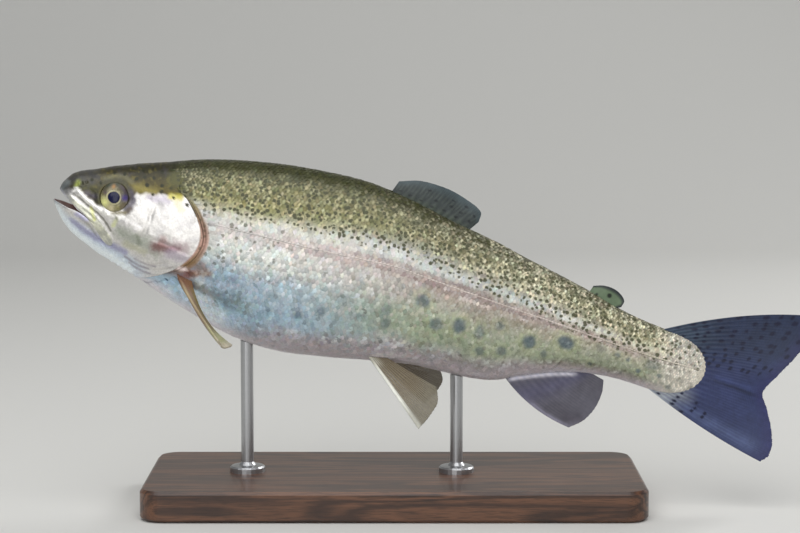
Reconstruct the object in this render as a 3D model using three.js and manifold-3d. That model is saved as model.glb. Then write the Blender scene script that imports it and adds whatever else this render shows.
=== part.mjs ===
// A life-size rainbow trout, Oncorhynchus mykiss, 300 mm long, swimming nose-up on a plain display stand.
// Millimetres, +Z up, +X towards the tail, the fish's left side towards -Y. The origin is the middle of
// the underside of the stand's base, so the whole model stands on z = 0.
//
// The fish is drawn straight first: s runs from the snout (0) to the end of the scaled tail stalk,
// y is sideways and h is the height over the body's axis. swim() then bends it gently sideways, and one
// group pitches it nose-up and lifts it over the base.
import * as THREE from "three";
import { mergeVertices } from "three/addons/utils/BufferGeometryUtils.js";
import Module from "manifold-3d";

const wasm = await Module();
wasm.setup();

// ---- driving dimensions ----
const BODY_START = -1.4; // s of the lower jaw's tip
const BODY_END = 265; // s of the end of the scaled tail stalk
const TOTAL_LENGTH = 303; // s of the upper tail lobe's tip
const PITCH = THREE.MathUtils.degToRad(14.7); // nose-up angle of the body's axis
const SWIM_BEND = 9; // how far the end of the stalk swings towards -Y
const BEND_MIDDLE = 115; // s where the body runs straight along X
const BEND_REACH = 150; // from there to the end of the stalk
const SNOUT = { x: -132, z: 123.5 }; // where the snout stands over the base

const BASE = { length: 196, width: 84, height: 12, corner: 9, chamfer: 1.2 };
const ROD = { radius: 2.5, footRadius: 7, footHeight: 2.4, sides: 24 };
const ROD_AT = [86, 170]; // s of the two rods under the belly
const GAP = 0.3; // air between neighbouring pieces

const EYE = { s: 21.2, h: 4.4, y: 11.3, radius: 5.6, depth: 2.7 };
const GILL_PLATE = 1.7; // thickness of a gill cover
const GILL_SWELL = 0.9; // how far the covers stand out over the shoulder behind them

// The body's stations: s, top and bottom of the outline, half width, the level where it is widest, and
// how square its upper and lower halves are (2 is an ellipse).
const STATIONS = [
  [0, 9.9, 9.4, 7.2, 0.4, 2.3, 2.0],
  [8, 11.6, 13.1, 9.4, -1.0, 2.4, 1.9],
  [19, 16.0, 18.2, 12.0, -1.6, 2.4, 1.85],
  [36, 22.3, 24.3, 15.4, -3.0, 2.25, 1.9],
  [56, 28.4, 31.3, 17.6, -4.0, 2.1, 2.0],
  [78, 32.7, 37.6, 19.3, -3.5, 2.0, 2.1],
  [97, 34.6, 39.2, 19.8, -3.0, 1.95, 2.2],
  [116, 35.0, 37.0, 19.2, -2.0, 1.95, 2.2],
  [135, 32.4, 33.6, 17.8, -1.5, 1.95, 2.2],
  [152, 28.7, 31.0, 16.0, -1.5, 1.95, 2.15],
  [172, 24.9, 30.4, 13.6, -2.0, 1.95, 2.0],
  [184, 22.0, 28.6, 12.0, -2.0, 1.95, 1.95],
  [194, 19.9, 24.0, 10.8, -2.0, 2.0, 2.0],
  [211, 16.0, 17.8, 8.8, -2.0, 2.0, 2.0],
  [228, 11.4, 15.4, 6.9, -2.4, 2.0, 2.0],
  [247, 8.8, 16.0, 5.0, -3.0, 2.0, 2.0],
  [BODY_END, 8.8, 16.0, 2.2, -3.0, 2.0, 2.0],
];
const NOSE_ROUND = { top: 8, bottom: 12, side: 9 }; // how far back the snout's rounding reaches
const TAIL_ROUND_FROM = 247; // s where the stalk starts to round off

// ---- curves ----
// A smooth curve through (x, y) knots with uneven spacing: cubic pieces whose slope at a knot is the
// slope between its neighbours.
function curveThrough(xs, ys) {
  const last = xs.length - 1;
  const slopes = xs.map((_, i) => {
    const a = Math.max(i - 1, 0);
    const b = Math.min(i + 1, last);
    return (ys[b] - ys[a]) / (xs[b] - xs[a]);
  });
  return (x) => {
    let i = 0;
    while (i < last - 1 && x > xs[i + 1]) i += 1;
    const step = xs[i + 1] - xs[i];
    const t = THREE.MathUtils.clamp((x - xs[i]) / step, 0, 1);
    const t2 = t * t;
    const t3 = t2 * t;
    return (
      (2 * t3 - 3 * t2 + 1) * ys[i] +
      (t3 - 2 * t2 + t) * step * slopes[i] +
      (3 * t2 - 2 * t3) * ys[i + 1] +
      (t3 - t2) * step * slopes[i + 1]
    );
  };
}

const column = (k) => curveThrough(STATIONS.map((r) => r[0]), STATIONS.map((r) => r[k]));
const [topAt, bottomAt, widthAt, levelAt, squareTopAt, squareBottomAt] = [1, 2, 3, 4, 5, 6].map(column);

// A quarter ellipse from 0 at start to 1 at start + reach, and the same the other way for the tail.
function noseRound(s, start, reach) {
  const t = THREE.MathUtils.clamp((s - start) / reach, 0, 1);
  return Math.sqrt(1 - (1 - t) ** 2);
}
function tailRound(s) {
  const t = THREE.MathUtils.clamp((s - TAIL_ROUND_FROM) / (BODY_END - TAIL_ROUND_FROM), 0, 1);
  return Math.sqrt(1 - t * t);
}

// A point of the body's skin. turn is the angle round the section: 0 on the back, PI under the belly,
// and then up the other side. grow moves the whole surface outwards, and swell adds the gill covers.
function bodyPoint(s, turn, grow = 0, swell = 0) {
  const c = Math.cos(turn);
  const n = Math.sin(turn);
  const upper = c >= 0;
  const power = 2 / (upper ? squareTopAt(s) : squareBottomAt(s));
  const tail = tailRound(s);
  const level = levelAt(s);
  const reach = upper
    ? (topAt(s) - level) * noseRound(s, 0, NOSE_ROUND.top)
    : (bottomAt(s) + level) * noseRound(s, BODY_START, NOSE_ROUND.bottom);
  const cover = swell * Math.exp(-(((s - 50) / 11) ** 2) - (Math.min(turn, 2 * Math.PI - turn) - 1.75) ** 2 / 0.5);
  const half = widthAt(s) * noseRound(s, BODY_START, NOSE_ROUND.side) * tail + cover;
  return new THREE.Vector3(
    s,
    -Math.sign(n) * (half + grow) * Math.abs(n) ** power,
    level + Math.sign(c) * (reach * tail + grow) * Math.abs(c) ** power,
  );
}

// The sideways bend: s slides along a parabola, and y is measured square to it.
function swim(p) {
  const t = (p.x - BEND_MIDDLE) / BEND_REACH;
  const slope = (-2 * SWIM_BEND * t) / BEND_REACH;
  const long = Math.hypot(1, slope);
  return new THREE.Vector3(
    p.x - (p.y * slope) / long,
    -SWIM_BEND * t * t + p.y / long,
    p.z,
  );
}

// ---- solids ----
// A closed surface from rings of points: each ring joins the next, and single points close the ends.
function lofted(rings, startPoint, endPoint) {
  const around = rings[0].length;
  const points = [startPoint, ...rings.flat(), endPoint];
  const at = (r, k) => 1 + r * around + (k % around);
  const end = points.length - 1;
  const index = [];
  for (let k = 0; k < around; k += 1) {
    index.push(0, at(0, k + 1), at(0, k));
    index.push(end, at(rings.length - 1, k), at(rings.length - 1, k + 1));
    for (let r = 0; r + 1 < rings.length; r += 1) {
      index.push(at(r, k), at(r, k + 1), at(r + 1, k + 1));
      index.push(at(r, k), at(r + 1, k + 1), at(r + 1, k));
    }
  }
  const geometry = new THREE.BufferGeometry().setFromPoints(points);
  geometry.setIndex(index);
  return geometry;
}

// The body between two stations. Rings crowd together at the snout and at the stalk's end.
function bodyGeometry({ from, to, rings, around, grow = 0, swell = 0 }) {
  const stations = Array.from({ length: rings }, (_, i) => {
    const t = (i + 0.5) / rings;
    return from + (to - from) * (0.5 - 0.5 * Math.cos(Math.PI * t));
  });
  const ring = (s) =>
    Array.from({ length: around }, (_, k) => swim(bodyPoint(s, (2 * Math.PI * k) / around, grow, swell)));
  const cap = (s) => swim(new THREE.Vector3(s, 0, levelAt(s)));
  return lofted(stations.map(ring), cap(from - grow), cap(to + grow));
}

// A three.js geometry as a solid that can be joined and cut, and back again.
function solid(geometry) {
  const bare = (geometry.index ? geometry.toNonIndexed() : geometry.clone());
  bare.deleteAttribute("normal");
  bare.deleteAttribute("uv");
  const merged = mergeVertices(bare, 1e-3);
  const made = new wasm.Manifold(
    new wasm.Mesh({
      numProp: 3,
      vertProperties: merged.attributes.position.array,
      triVerts: new Uint32Array(merged.index.array),
    }),
  );
  if (made.volume() < 0) throw new Error("a solid is inside out");
  return made;
}
function geometryOf(made) {
  const mesh = made.getMesh();
  const geometry = new THREE.BufferGeometry();
  geometry.setAttribute("position", new THREE.BufferAttribute(mesh.vertProperties, 3));
  geometry.setIndex(new THREE.BufferAttribute(mesh.triVerts, 1));
  geometry.computeVertexNormals();
  return geometry;
}
const largest = (made) => made.decompose().sort((a, b) => b.volume() - a.volume())[0];

// A prism across the fish whose side view is an outline of [s, h] points.
function acrossPrism(outline, halfWidth = 60) {
  const shape = new THREE.Shape(outline.map(([s, h]) => new THREE.Vector2(s, h)));
  const geometry = new THREE.ExtrudeGeometry(shape, { depth: 2 * halfWidth, bevelEnabled: false });
  return solid(geometry.rotateX(Math.PI / 2).translate(0, halfWidth, 0));
}
// Half of space on one side of the fish's middle: -1 is the left side, towards -Y.
function sideBlock(side) {
  return solid(new THREE.BoxGeometry(400, 60, 200).translate(100, side * 30.2, 0));
}
// [s, h] points along a smooth curve.
function smoothLine(points, count) {
  const curve = new THREE.SplineCurve(points.map(([s, h]) => new THREE.Vector2(s, h)));
  return curve.getPoints(count).map((p) => [p.x, p.y]);
}
const moved = (line, ds, dh = 0) => line.map(([s, h]) => [s + ds, h + dh]);

// ---- head, gill covers, jaw, trunk and tail stalk ----
// The free rear edge of the gill cover, from its upper corner down and forward under the throat, and
// the front edge of the cover, where it meets the cheek.
const GILL_EDGE = smoothLine(
  [[45.5, 15.0], [50.2, 11.8], [56.2, 4.4], [59.0, -2.8], [56.4, -11.0], [47.4, -19.8], [37.0, -25.4], [31.4, -28.6]],
  24,
);
const CHEEK_EDGE = smoothLine([[39.5, 13.6], [37.8, 6.0], [37.0, -3.0], [34.8, -11.4], [31.4, -18.4], [30.8, -27.0]], 10);
// The mouth: a wedge between the lips that closes at the rear, then the line down to the throat.
const MOUTH_REAR = [10.2, -4.0];
const UPPER_LIP = [[-6, 6.4], [0.4, 2.1], [4.4, -0.3], [7.4, -2.1], MOUTH_REAR];
const LOWER_LIP = [[-6, -1.6], [-1.2, -2.2], [2.3, -2.7], [5.1, -3.2], MOUTH_REAR];
const JAW_REAR = smoothLine([MOUTH_REAR, [18.5, -7.6], [25.5, -11.6], [28.6, -16.0], [29.4, -30]], 12);

const AROUND = 28; // points round a section
const headLoft = solid(bodyGeometry({ from: BODY_START, to: 90, rings: 25, around: AROUND, swell: GILL_SWELL }));
const trunkLoft = solid(bodyGeometry({ from: 20, to: BODY_END, rings: 30, around: AROUND }));
const clearOfBody = solid(bodyGeometry({ from: BODY_START, to: BODY_END, rings: 40, around: AROUND, grow: GAP }));
// The head's core under the gill covers, flush with their inner face, and one gap deeper.
const underCovers = (deeper) =>
  solid(bodyGeometry({ from: 12, to: 75, rings: 18, around: AROUND, grow: -GILL_PLATE - deeper, swell: GILL_SWELL }));

const aheadOfGills = acrossPrism([[-20, 60], [44.0, 60], ...GILL_EDGE, [31.4, -60], [-20, -60]]);
// The left and right covers together, seen from the side, and the pocket they lie in.
const coverZone = acrossPrism([...GILL_EDGE, ...[...CHEEK_EDGE].reverse()]);
const pocketZone = acrossPrism([...moved(GILL_EDGE, 4), [30.6, -34], ...moved([...CHEEK_EDGE].reverse(), -GAP), [42, 16]]);
const mouthAndJaw = acrossPrism([...UPPER_LIP, ...JAW_REAR.slice(1), [-20, -30]]);
const jawZone = acrossPrism([...LOWER_LIP, ...moved(JAW_REAR.slice(1), -GAP, -GAP), [-20, -31]]);

const socketHoles = [-1, 1].map((side) => solid(eyeGeometry(side, GAP)));

function eyeGeometry(side, grow = 0) {
  const ball = new THREE.SphereGeometry(1, 16, 10);
  ball.scale(EYE.radius + grow, EYE.depth + grow, EYE.radius + grow);
  const centre = swim(new THREE.Vector3(EYE.s, side * EYE.y, EYE.h));
  return ball.translate(centre.x, centre.y, centre.z);
}

const head = largest(
  headLoft
    .intersect(aheadOfGills)
    .subtract(pocketZone.subtract(underCovers(GAP)))
    .subtract(mouthAndJaw)
    .subtract(socketHoles[0])
    .subtract(socketHoles[1]),
);
const lowerJaw = largest(headLoft.intersect(jawZone));
const coverShell = headLoft.intersect(coverZone).subtract(underCovers(0));
const gillCovers = [-1, 1].map((side) => largest(coverShell.intersect(sideBlock(side))));

const STALK_FROM = 190; // s where the trunk ends and the tail stalk starts, just ahead of the anal fin
const behindGills = acrossPrism([
  ...moved([[44.0, 60], ...GILL_EDGE, [31.4, -60]], GAP),
  [STALK_FROM, -60],
  [STALK_FROM, 60],
].reverse());
const stalkZone = acrossPrism([[STALK_FROM + GAP, -60], [300, -60], [300, 60], [STALK_FROM + GAP, 60]]);
const trunk = largest(trunkLoft.intersect(behindGills));
const tailStalk = largest(trunkLoft.intersect(stalkZone));

// ---- fins ----
// A fin is a fan of rays: ray u runs from root(u) to tip(u), bowed by bow(u) at its middle. The sheet is
// thick at the root and thins to the edge, and it is closed all round.
function finGeometry({ root, tip, bow = () => new THREE.Vector3(), face, thick, rays, steps }) {
  const sheet = (sign) => {
    const rows = [];
    for (let i = 0; i <= rays; i += 1) {
      const u = i / rays;
      const a = root(u);
      const b = tip(u);
      for (let j = 0; j <= steps; j += 1) {
        const v = j / steps;
        const half = THREE.MathUtils.lerp(thick[0], thick[1], v) / 2;
        const p = a.clone().lerp(b, v).addScaledVector(bow(u), 4 * v * (1 - v));
        rows.push(swim(p.addScaledVector(face, sign * half)));
      }
    }
    return rows;
  };
  const across = steps + 1;
  const points = [...sheet(1), ...sheet(-1)];
  const far = points.length / 2;
  const at = (i, j, back) => i * across + j + (back ? far : 0);
  const index = [];
  const quad = (a, b, c, d) => index.push(a, b, c, a, c, d);
  for (let i = 0; i < rays; i += 1) {
    for (let j = 0; j < steps; j += 1) {
      quad(at(i, j), at(i + 1, j), at(i + 1, j + 1), at(i, j + 1));
      quad(at(i, j, true), at(i, j + 1, true), at(i + 1, j + 1, true), at(i + 1, j, true));
    }
    quad(at(i, 0), at(i, 0, true), at(i + 1, 0, true), at(i + 1, 0));
    quad(at(i, steps), at(i + 1, steps), at(i + 1, steps, true), at(i, steps, true));
  }
  for (let j = 0; j < steps; j += 1) {
    quad(at(0, j), at(0, j + 1), at(0, j + 1, true), at(0, j, true));
    quad(at(rays, j), at(rays, j, true), at(rays, j + 1, true), at(rays, j + 1));
  }
  const geometry = new THREE.BufferGeometry().setFromPoints(points);
  geometry.setIndex(index);
  return geometry;
}

// A smooth line through 3-D points [s, y, h], read by a share of its length from 0 to 1.
function line3(points) {
  const curve = new THREE.CatmullRomCurve3(points.map((p) => new THREE.Vector3(...p)), false, "centripetal");
  return (u) => curve.getPoint(u);
}
const SIDEWAYS = new THREE.Vector3(0, 1, 0);
const onBack = (s, sunk) => new THREE.Vector3(s, 0, topAt(s) - sunk);
const underBelly = (s, sunk) => new THREE.Vector3(s, 0, -bottomAt(s) + sunk);

function dorsalFin() {
  return finGeometry({
    root: (u) => onBack(125.5 + 33.5 * u, 2),
    tip: line3([[128.4, 0, 38.2], [137, 0, 40.6], [147, 0, 40.4], [155.5, 0, 38.2], [162.6, 0, 34.8], [162.8, 0, 30.8]]),
    face: SIDEWAYS,
    thick: [1.7, 0.7],
    rays: 14,
    steps: 5,
  });
}
function adiposeFin() {
  return finGeometry({
    root: (u) => onBack(211.5 + 11 * u, 2),
    tip: line3([[213, 0, 18.1], [217.5, 0, 19.3], [222.6, 0, 18.5], [226.1, 0, 15.6], [225.6, 0, 12.8]]),
    face: SIDEWAYS,
    thick: [2.4, 1.0],
    rays: 10,
    steps: 4,
  });
}
function tailFin() {
  return finGeometry({
    root: line3([[243.5, 0, 8.4], [250, 0, 4], [252, 0, -3.5], [250, 0, -11], [243.5, 0, -15.2]]),
    tip: line3([
      [TOTAL_LENGTH, 0, 30.2], [300.4, 0, 21.8], [296, 0, 12], [291.4, 0, 3.2], [287.6, 0, -5],
      [291, 0, -11], [294.4, 0, -17.5], [296.4, 0, -23.5], [296.4, 0, -28.4], [293.8, 0, -31.4],
    ]),
    bow: (u) => new THREE.Vector3(0, 0, THREE.MathUtils.lerp(3, -1.6, u)),
    face: SIDEWAYS,
    thick: [2.4, 0.7],
    rays: 20,
    steps: 6,
  });
}
function analFin() {
  return finGeometry({
    root: (u) => underBelly(187.5 + 29.5 * u, 2),
    tip: line3([[218.6, 0, -39.4], [223.4, 0, -34.8], [226.4, 0, -28.8], [227.4, 0, -22.4], [226.6, 0, -17.2]]),
    bow: (u) => new THREE.Vector3(-1.2 * (1 - u), 0, -2.2 * (1 - u)),
    face: SIDEWAYS,
    thick: [1.8, 0.7],
    rays: 12,
    steps: 6,
  });
}
// side is -1 for the fin on the left, and 1 for the one on the right.
function pelvicFin(side) {
  const up = side > 0 ? 4 : 0; // the right one is held a little higher
  return finGeometry({
    root: line3([[134.4, side * 7.4, -31.4], [141.6, side * 7.0, -30.2]]),
    tip: line3([
      [160.8, side * 18, up - 52.6], [164.0, side * 16, up - 46.4], [165.4, side * 13.5, up - 41], [163.6, side * 11, up - 36],
    ]),
    face: new THREE.Vector3(0.1, 0.9, side * 0.42).normalize(),
    thick: [1.8, 0.7],
    rays: 10,
    steps: 6,
  });
}
// The left fin hangs out and down, edge-on from the side, and the right one is swept back along the belly.
const PECTORAL_TIPS = {
  "-1": [[75, -35, -37], [77.4, -31.6, -38.9], [79.6, -28, -39.2], [80.9, -24, -38.2]],
  1: [[85.6, 34, -27.4], [87.2, 30.4, -31.6], [84.6, 26.6, -34.6], [78.6, 22.8, -33.6]],
};
const PECTORAL_FACES = { "-1": [0.58, -0.23, 0.78], 1: [0.24, 0.5, 0.83] };
const PECTORAL_BOWS = { "-1": [[-0.3, 0, -0.3], [-2.9, 0, -3.1]], 1: [[0, 0, 0], [0, 0, 0]] };
function pectoralFin(side) {
  const [frontBow, rearBow] = PECTORAL_BOWS[side].map((p) => new THREE.Vector3(...p));
  return finGeometry({
    root: line3([[52.6, side * 14.0, -17.8], [55.8, side * 14.6, -17.6], [58.8, side * 14.8, -16.4]]),
    tip: line3(PECTORAL_TIPS[side]),
    bow: (u) => frontBow.clone().lerp(rearBow, u),
    face: new THREE.Vector3(...PECTORAL_FACES[side]).normalize(),
    thick: [2.0, 0.7],
    rays: 10,
    steps: 6,
  });
}
// A fin as a solid, cut clear of the body it grows from. A sheet that came out inside out is turned.
function finSolid(geometry) {
  try {
    return largest(solid(geometry).subtract(clearOfBody));
  } catch {
    const turned = geometry.clone();
    const index = turned.index.array;
    for (let i = 0; i < index.length; i += 3) [index[i], index[i + 1]] = [index[i + 1], index[i]];
    return largest(solid(turned).subtract(clearOfBody));
  }
}

// ---- upper jaw blades ----
// The maxilla: a long rounded plate that lies along the upper lip, from the snout to behind the eye.
function jawBlade(side) {
  const middle = smoothLine([[3.6, 1.6], [9.0, -1.6], [15.5, -5.4], [21.6, -9.4], [26.6, -13.0]], 10);
  const rings = middle.map(([s, h], i) => {
    const t = i / (middle.length - 1);
    const half = 1.8 * Math.sin(Math.PI * (0.1 + 0.8 * t) ** 1.25) ** 0.55;
    const [s0, h0] = middle[Math.max(i - 1, 0)];
    const [s1, h1] = middle[Math.min(i + 1, middle.length - 1)];
    const long = Math.hypot(s1 - s0, h1 - h0);
    const up = [-(h1 - h0) / long, (s1 - s0) / long];
    const corners = [[1, GAP], [0.75, 1.3], [-0.75, 1.3], [-1, GAP]];
    return corners.map(([across, out]) => {
      const [ps, ph] = [s + up[0] * half * across, h + up[1] * half * across];
      const skin = bodyPoint(ps, turnAt(ps, ph), out, 0);
      return swim(new THREE.Vector3(ps, side * Math.abs(skin.y), ph));
    });
  });
  const ends = [rings[0], rings[rings.length - 1]].map((ring) =>
    ring.reduce((sum, p) => sum.add(p), new THREE.Vector3()).multiplyScalar(1 / ring.length));
  const blade = lofted(side < 0 ? rings : rings.map((r) => [...r].reverse()), ...ends);
  return solid(blade);
}
// The section angle whose point has height h at station s.
function turnAt(s, h) {
  const level = levelAt(s);
  const upper = h >= level;
  const reach = upper
    ? (topAt(s) - level) * noseRound(s, 0, NOSE_ROUND.top)
    : (bottomAt(s) + level) * noseRound(s, BODY_START, NOSE_ROUND.bottom);
  const share = THREE.MathUtils.clamp(Math.abs(h - level) / reach, 0, 1);
  const power = 2 / (upper ? squareTopAt(s) : squareBottomAt(s));
  const c = share ** (1 / power);
  return Math.acos(upper ? c : -c);
}

// ---- materials ----
const FINISHES = {
  skin: { color: 0x8f9a76, roughness: 0.35, metalness: 0.25 },
  gillCover: { color: 0xd9d8d2, roughness: 0.25, metalness: 0.45 },
  jaw: { color: 0xcfd3cc, roughness: 0.35, metalness: 0.2 },
  fin: { color: 0x6d7078, roughness: 0.45, metalness: 0 },
  paleFin: { color: 0xa79f92, roughness: 0.45, metalness: 0 },
  eye: { color: 0x20222c, roughness: 0.05, metalness: 0 },
  walnut: { color: 0x4a3324, roughness: 0.5, metalness: 0 },
  steel: { color: 0xb9bbbd, roughness: 0.3, metalness: 1 },
};
const materials = Object.fromEntries(
  Object.entries(FINISHES).map(([name, finish]) => [name, new THREE.MeshStandardMaterial(finish)]),
);

// ---- the scene graph ----
const trout = new THREE.Group();
const fish = new THREE.Group();
fish.position.set(SNOUT.x, 0, SNOUT.z);
fish.rotation.y = PITCH;
trout.add(fish);

function addPiece(parent, name, made, material) {
  const mesh = new THREE.Mesh(geometryOf(made), materials[material]);
  mesh.name = name;
  parent.add(mesh);
}
const SIDES = { left: -1, right: 1 };

addPiece(fish, "head", head, "skin");
addPiece(fish, "lower_jaw", lowerJaw, "jaw");
addPiece(fish, "trunk", trunk, "skin");
addPiece(fish, "tail_stalk", tailStalk, "skin");
addPiece(fish, "dorsal_fin", finSolid(dorsalFin()), "fin");
addPiece(fish, "adipose_fin", finSolid(adiposeFin()), "fin");
addPiece(fish, "tail_fin", finSolid(tailFin()), "fin");
addPiece(fish, "anal_fin", finSolid(analFin()), "paleFin");
Object.entries(SIDES).forEach(([name, side], i) => {
  addPiece(fish, `gill_cover_${name}`, gillCovers[i], "gillCover");
  addPiece(fish, `upper_jaw_${name}`, jawBlade(side), "jaw");
  addPiece(fish, `eye_${name}`, solid(eyeGeometry(side)), "eye");
  addPiece(fish, `pectoral_fin_${name}`, finSolid(pectoralFin(side)), "paleFin");
  addPiece(fish, `pelvic_fin_${name}`, finSolid(pelvicFin(side)), "paleFin");
});

// ---- the display stand ----
// A flat wooden base with round corners and a chamfered top edge.
function standBase() {
  const { length, width, height, corner, chamfer } = BASE;
  const [x, y] = [length / 2 - chamfer, width / 2 - chamfer];
  const r = corner - chamfer;
  const shape = new THREE.Shape();
  shape.moveTo(-x + r, -y);
  shape.lineTo(x - r, -y).absarc(x - r, -y + r, r, -Math.PI / 2, 0);
  shape.lineTo(x, y - r).absarc(x - r, y - r, r, 0, Math.PI / 2);
  shape.lineTo(-x + r, y).absarc(-x + r, y - r, r, Math.PI / 2, Math.PI);
  shape.lineTo(-x, -y + r).absarc(-x + r, -y + r, r, Math.PI, 1.5 * Math.PI);
  const geometry = new THREE.ExtrudeGeometry(shape, {
    depth: height - 2 * chamfer,
    bevelEnabled: true,
    bevelThickness: chamfer,
    bevelSize: chamfer,
    bevelSegments: 1,
    curveSegments: 5,
  });
  return solid(geometry.translate(0, 0, chamfer));
}
// A turned rod with a round foot, cut to the belly above it.
function standRod(s) {
  const belly = swim(new THREE.Vector3(s, 0, -bottomAt(s))).applyMatrix4(fish.matrixWorld);
  const { radius, footRadius, footHeight, sides } = ROD;
  const profile = [
    [0, 0], [footRadius, 0], [footRadius, footHeight - 0.6], [footRadius - 0.6, footHeight],
    [radius + 1, footHeight + 0.4], [radius, footHeight + 1.6], [radius, belly.z - BASE.height + 12], [0, belly.z - BASE.height + 12],
  ].map(([r, z]) => new THREE.Vector2(r, z));
  const rod = new THREE.LatheGeometry(profile, sides).rotateX(Math.PI / 2);
  rod.translate(belly.x, belly.y, BASE.height);
  const body = solid(bodyGeometry({ from: 20, to: 240, rings: 40, around: 32, grow: GAP }).applyMatrix4(fish.matrixWorld));
  const parts = solid(rod).subtract(body).decompose();
  return parts.sort((a, b) => a.boundingBox().min[2] - b.boundingBox().min[2])[0];
}
fish.updateMatrixWorld(true);
addPiece(trout, "stand_base", standBase(), "walnut");
ROD_AT.forEach((s, i) => addPiece(trout, ["stand_rod_front", "stand_rod_rear"][i], standRod(s), "steel"));

export default trout;
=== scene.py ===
# %% [markdown]
# # A rainbow trout on a display stand
# This lesson builds a life-size rainbow trout, *Oncorhynchus mykiss*, about 300 mm long. The fish swims
# nose-up with its mouth a little open. Its CAD frame holds the true size; here it gets one seamless skin,
# about fourteen thousand solid scales, rayed fins, wet eyes and a plain stand. Everything is drawn in
# millimetres in a straight fish: s runs from the snout to the tail, y is sideways and h is height over the
# body's axis. One function bends, tilts and lifts the finished points into place.

import bpy
import numpy as np
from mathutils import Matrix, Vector


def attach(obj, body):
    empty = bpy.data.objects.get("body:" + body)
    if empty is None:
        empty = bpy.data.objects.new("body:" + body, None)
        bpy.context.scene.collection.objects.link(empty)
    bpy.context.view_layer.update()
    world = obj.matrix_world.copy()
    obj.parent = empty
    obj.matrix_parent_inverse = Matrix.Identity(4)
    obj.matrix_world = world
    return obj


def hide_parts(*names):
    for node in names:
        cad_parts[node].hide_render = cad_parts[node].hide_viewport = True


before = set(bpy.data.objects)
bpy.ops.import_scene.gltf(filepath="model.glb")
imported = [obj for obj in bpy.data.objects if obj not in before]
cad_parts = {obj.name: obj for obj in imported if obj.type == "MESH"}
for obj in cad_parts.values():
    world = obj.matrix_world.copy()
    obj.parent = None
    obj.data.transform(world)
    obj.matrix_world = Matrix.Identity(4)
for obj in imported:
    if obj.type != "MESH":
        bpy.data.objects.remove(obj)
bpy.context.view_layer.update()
print("CAD nodes:", len(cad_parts))

# %% [markdown]
# ## Colour, nodes and meshes
# A few helpers serve the whole lesson. Colours are chosen as sRGB hex values, as in any paint program, but
# a shader works in linear light, so one function turns them. One function adds a node with its settings and
# links. One puts computed arrays into a mesh, which is much quicker than adding vertices one at a time.

# %% Helpers for colours and nodes
MM = 0.001
SIDES = (("left", -1), ("right", 1))  # each side's name and the sign of its y
MIRROR = np.array([1.0, -1.0, 1.0])


def linear(colour):
    """sRGB to linear light: c/12.92 in the darkest part, otherwise ((c + 0.055) / 1.055) to the power 2.4."""
    c = np.array([int(colour[i : i + 2], 16) for i in (1, 3, 5)]) / 255
    return np.where(c <= 0.04045, c / 12.92, ((c + 0.055) / 1.055) ** 2.4)


def rgba(colour):
    """A linear colour with alpha 1, as a shader socket takes it."""
    return (*linear(colour), 1.0)


def node(tree, kind, links=None, **settings):
    """Adds one node. settings are its properties, or its input values by name; links maps input to socket."""
    made = tree.nodes.new(kind)
    for key, value in settings.items():
        name = key.replace("_", " ").title()
        if hasattr(made, key):
            setattr(made, key, value)
        else:
            made.inputs[name].default_value = value
    for key, socket in (links or {}).items():
        tree.links.new(socket, made.inputs[key])
    return made


def stored(tree, name, output="Fac"):
    """Reads one of the mesh's values per point: "Fac" for a number, "Color" for a colour."""
    return node(tree, "ShaderNodeAttribute", attribute_name=name).outputs[output]


def settle(shader, values):
    """Sets plain inputs of a shader, given as names and values."""
    for name, value in values.items():
        shader.inputs[name].default_value = value


def new_material(name):
    """A material with a node tree and its Principled shader."""
    material = bpy.data.materials.new(name)
    material.use_nodes = True
    tree = material.node_tree
    return material, tree, tree.nodes["Principled BSDF"]


# %% Helpers for meshes
def mesh_piece(name, points, faces, material, values=None):
    """Makes an object from arrays: points in metres, faces of 3 or 4 corners, and named values per point.
    The faces are turned round if the volume they enclose, a sum of signed pyramids, is negative."""
    middle = points.mean(0)
    a, b, c = (points[np.concatenate([f[:, k] for f in faces])] - middle for k in (0, 1, 2))
    if np.einsum("ij,ij->", a, np.cross(b, c)) < 0:
        faces = [f[:, ::-1] for f in faces]
    mesh = bpy.data.meshes.new(name)
    mesh.vertices.add(len(points))
    mesh.vertices.foreach_set("co", np.asarray(points, np.float32).ravel())
    faces = [np.asarray(f, np.int32) for f in faces]
    corners = np.concatenate([f.ravel() for f in faces])
    counts = np.concatenate([np.full(len(f), f.shape[1]) for f in faces])
    starts = np.concatenate([[0], np.cumsum(counts)[:-1]])
    mesh.loops.add(len(corners))
    mesh.loops.foreach_set("vertex_index", corners)
    mesh.polygons.add(len(counts))
    mesh.polygons.foreach_set("loop_start", starts.astype(np.int32))
    mesh.update(calc_edges=True)
    for key, value in (values or {}).items():
        if value.ndim == 2:
            layer = mesh.attributes.new(key, "FLOAT_COLOR", "POINT")
            value = np.c_[value, np.ones(len(value))]
            layer.data.foreach_set("color", value.astype(np.float32).ravel())
        else:
            layer = mesh.attributes.new(key, "FLOAT", "POINT")
            layer.data.foreach_set("value", value.astype(np.float32))
    mesh.polygons.foreach_set("use_smooth", np.ones(len(counts), bool))
    mesh.materials.append(material)
    mesh.validate()
    piece = bpy.data.objects.new(name, mesh)
    bpy.context.scene.collection.objects.link(piece)
    print(f"{name}: {len(points)} points, {int((counts - 2).sum())} triangles")
    return piece


def grid_faces(rows, columns, wrap=False):
    """Quads of a grid of points, row by row; wrap joins the last column to the first."""
    across = columns if wrap else columns - 1
    r, c = np.meshgrid(np.arange(rows - 1), np.arange(across), indexing="ij")
    here, below, right = r * columns, (r + 1) * columns, (c + 1) % columns
    return np.stack([here + c, here + right, below + right, below + c], -1).reshape(-1, 4)


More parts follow.
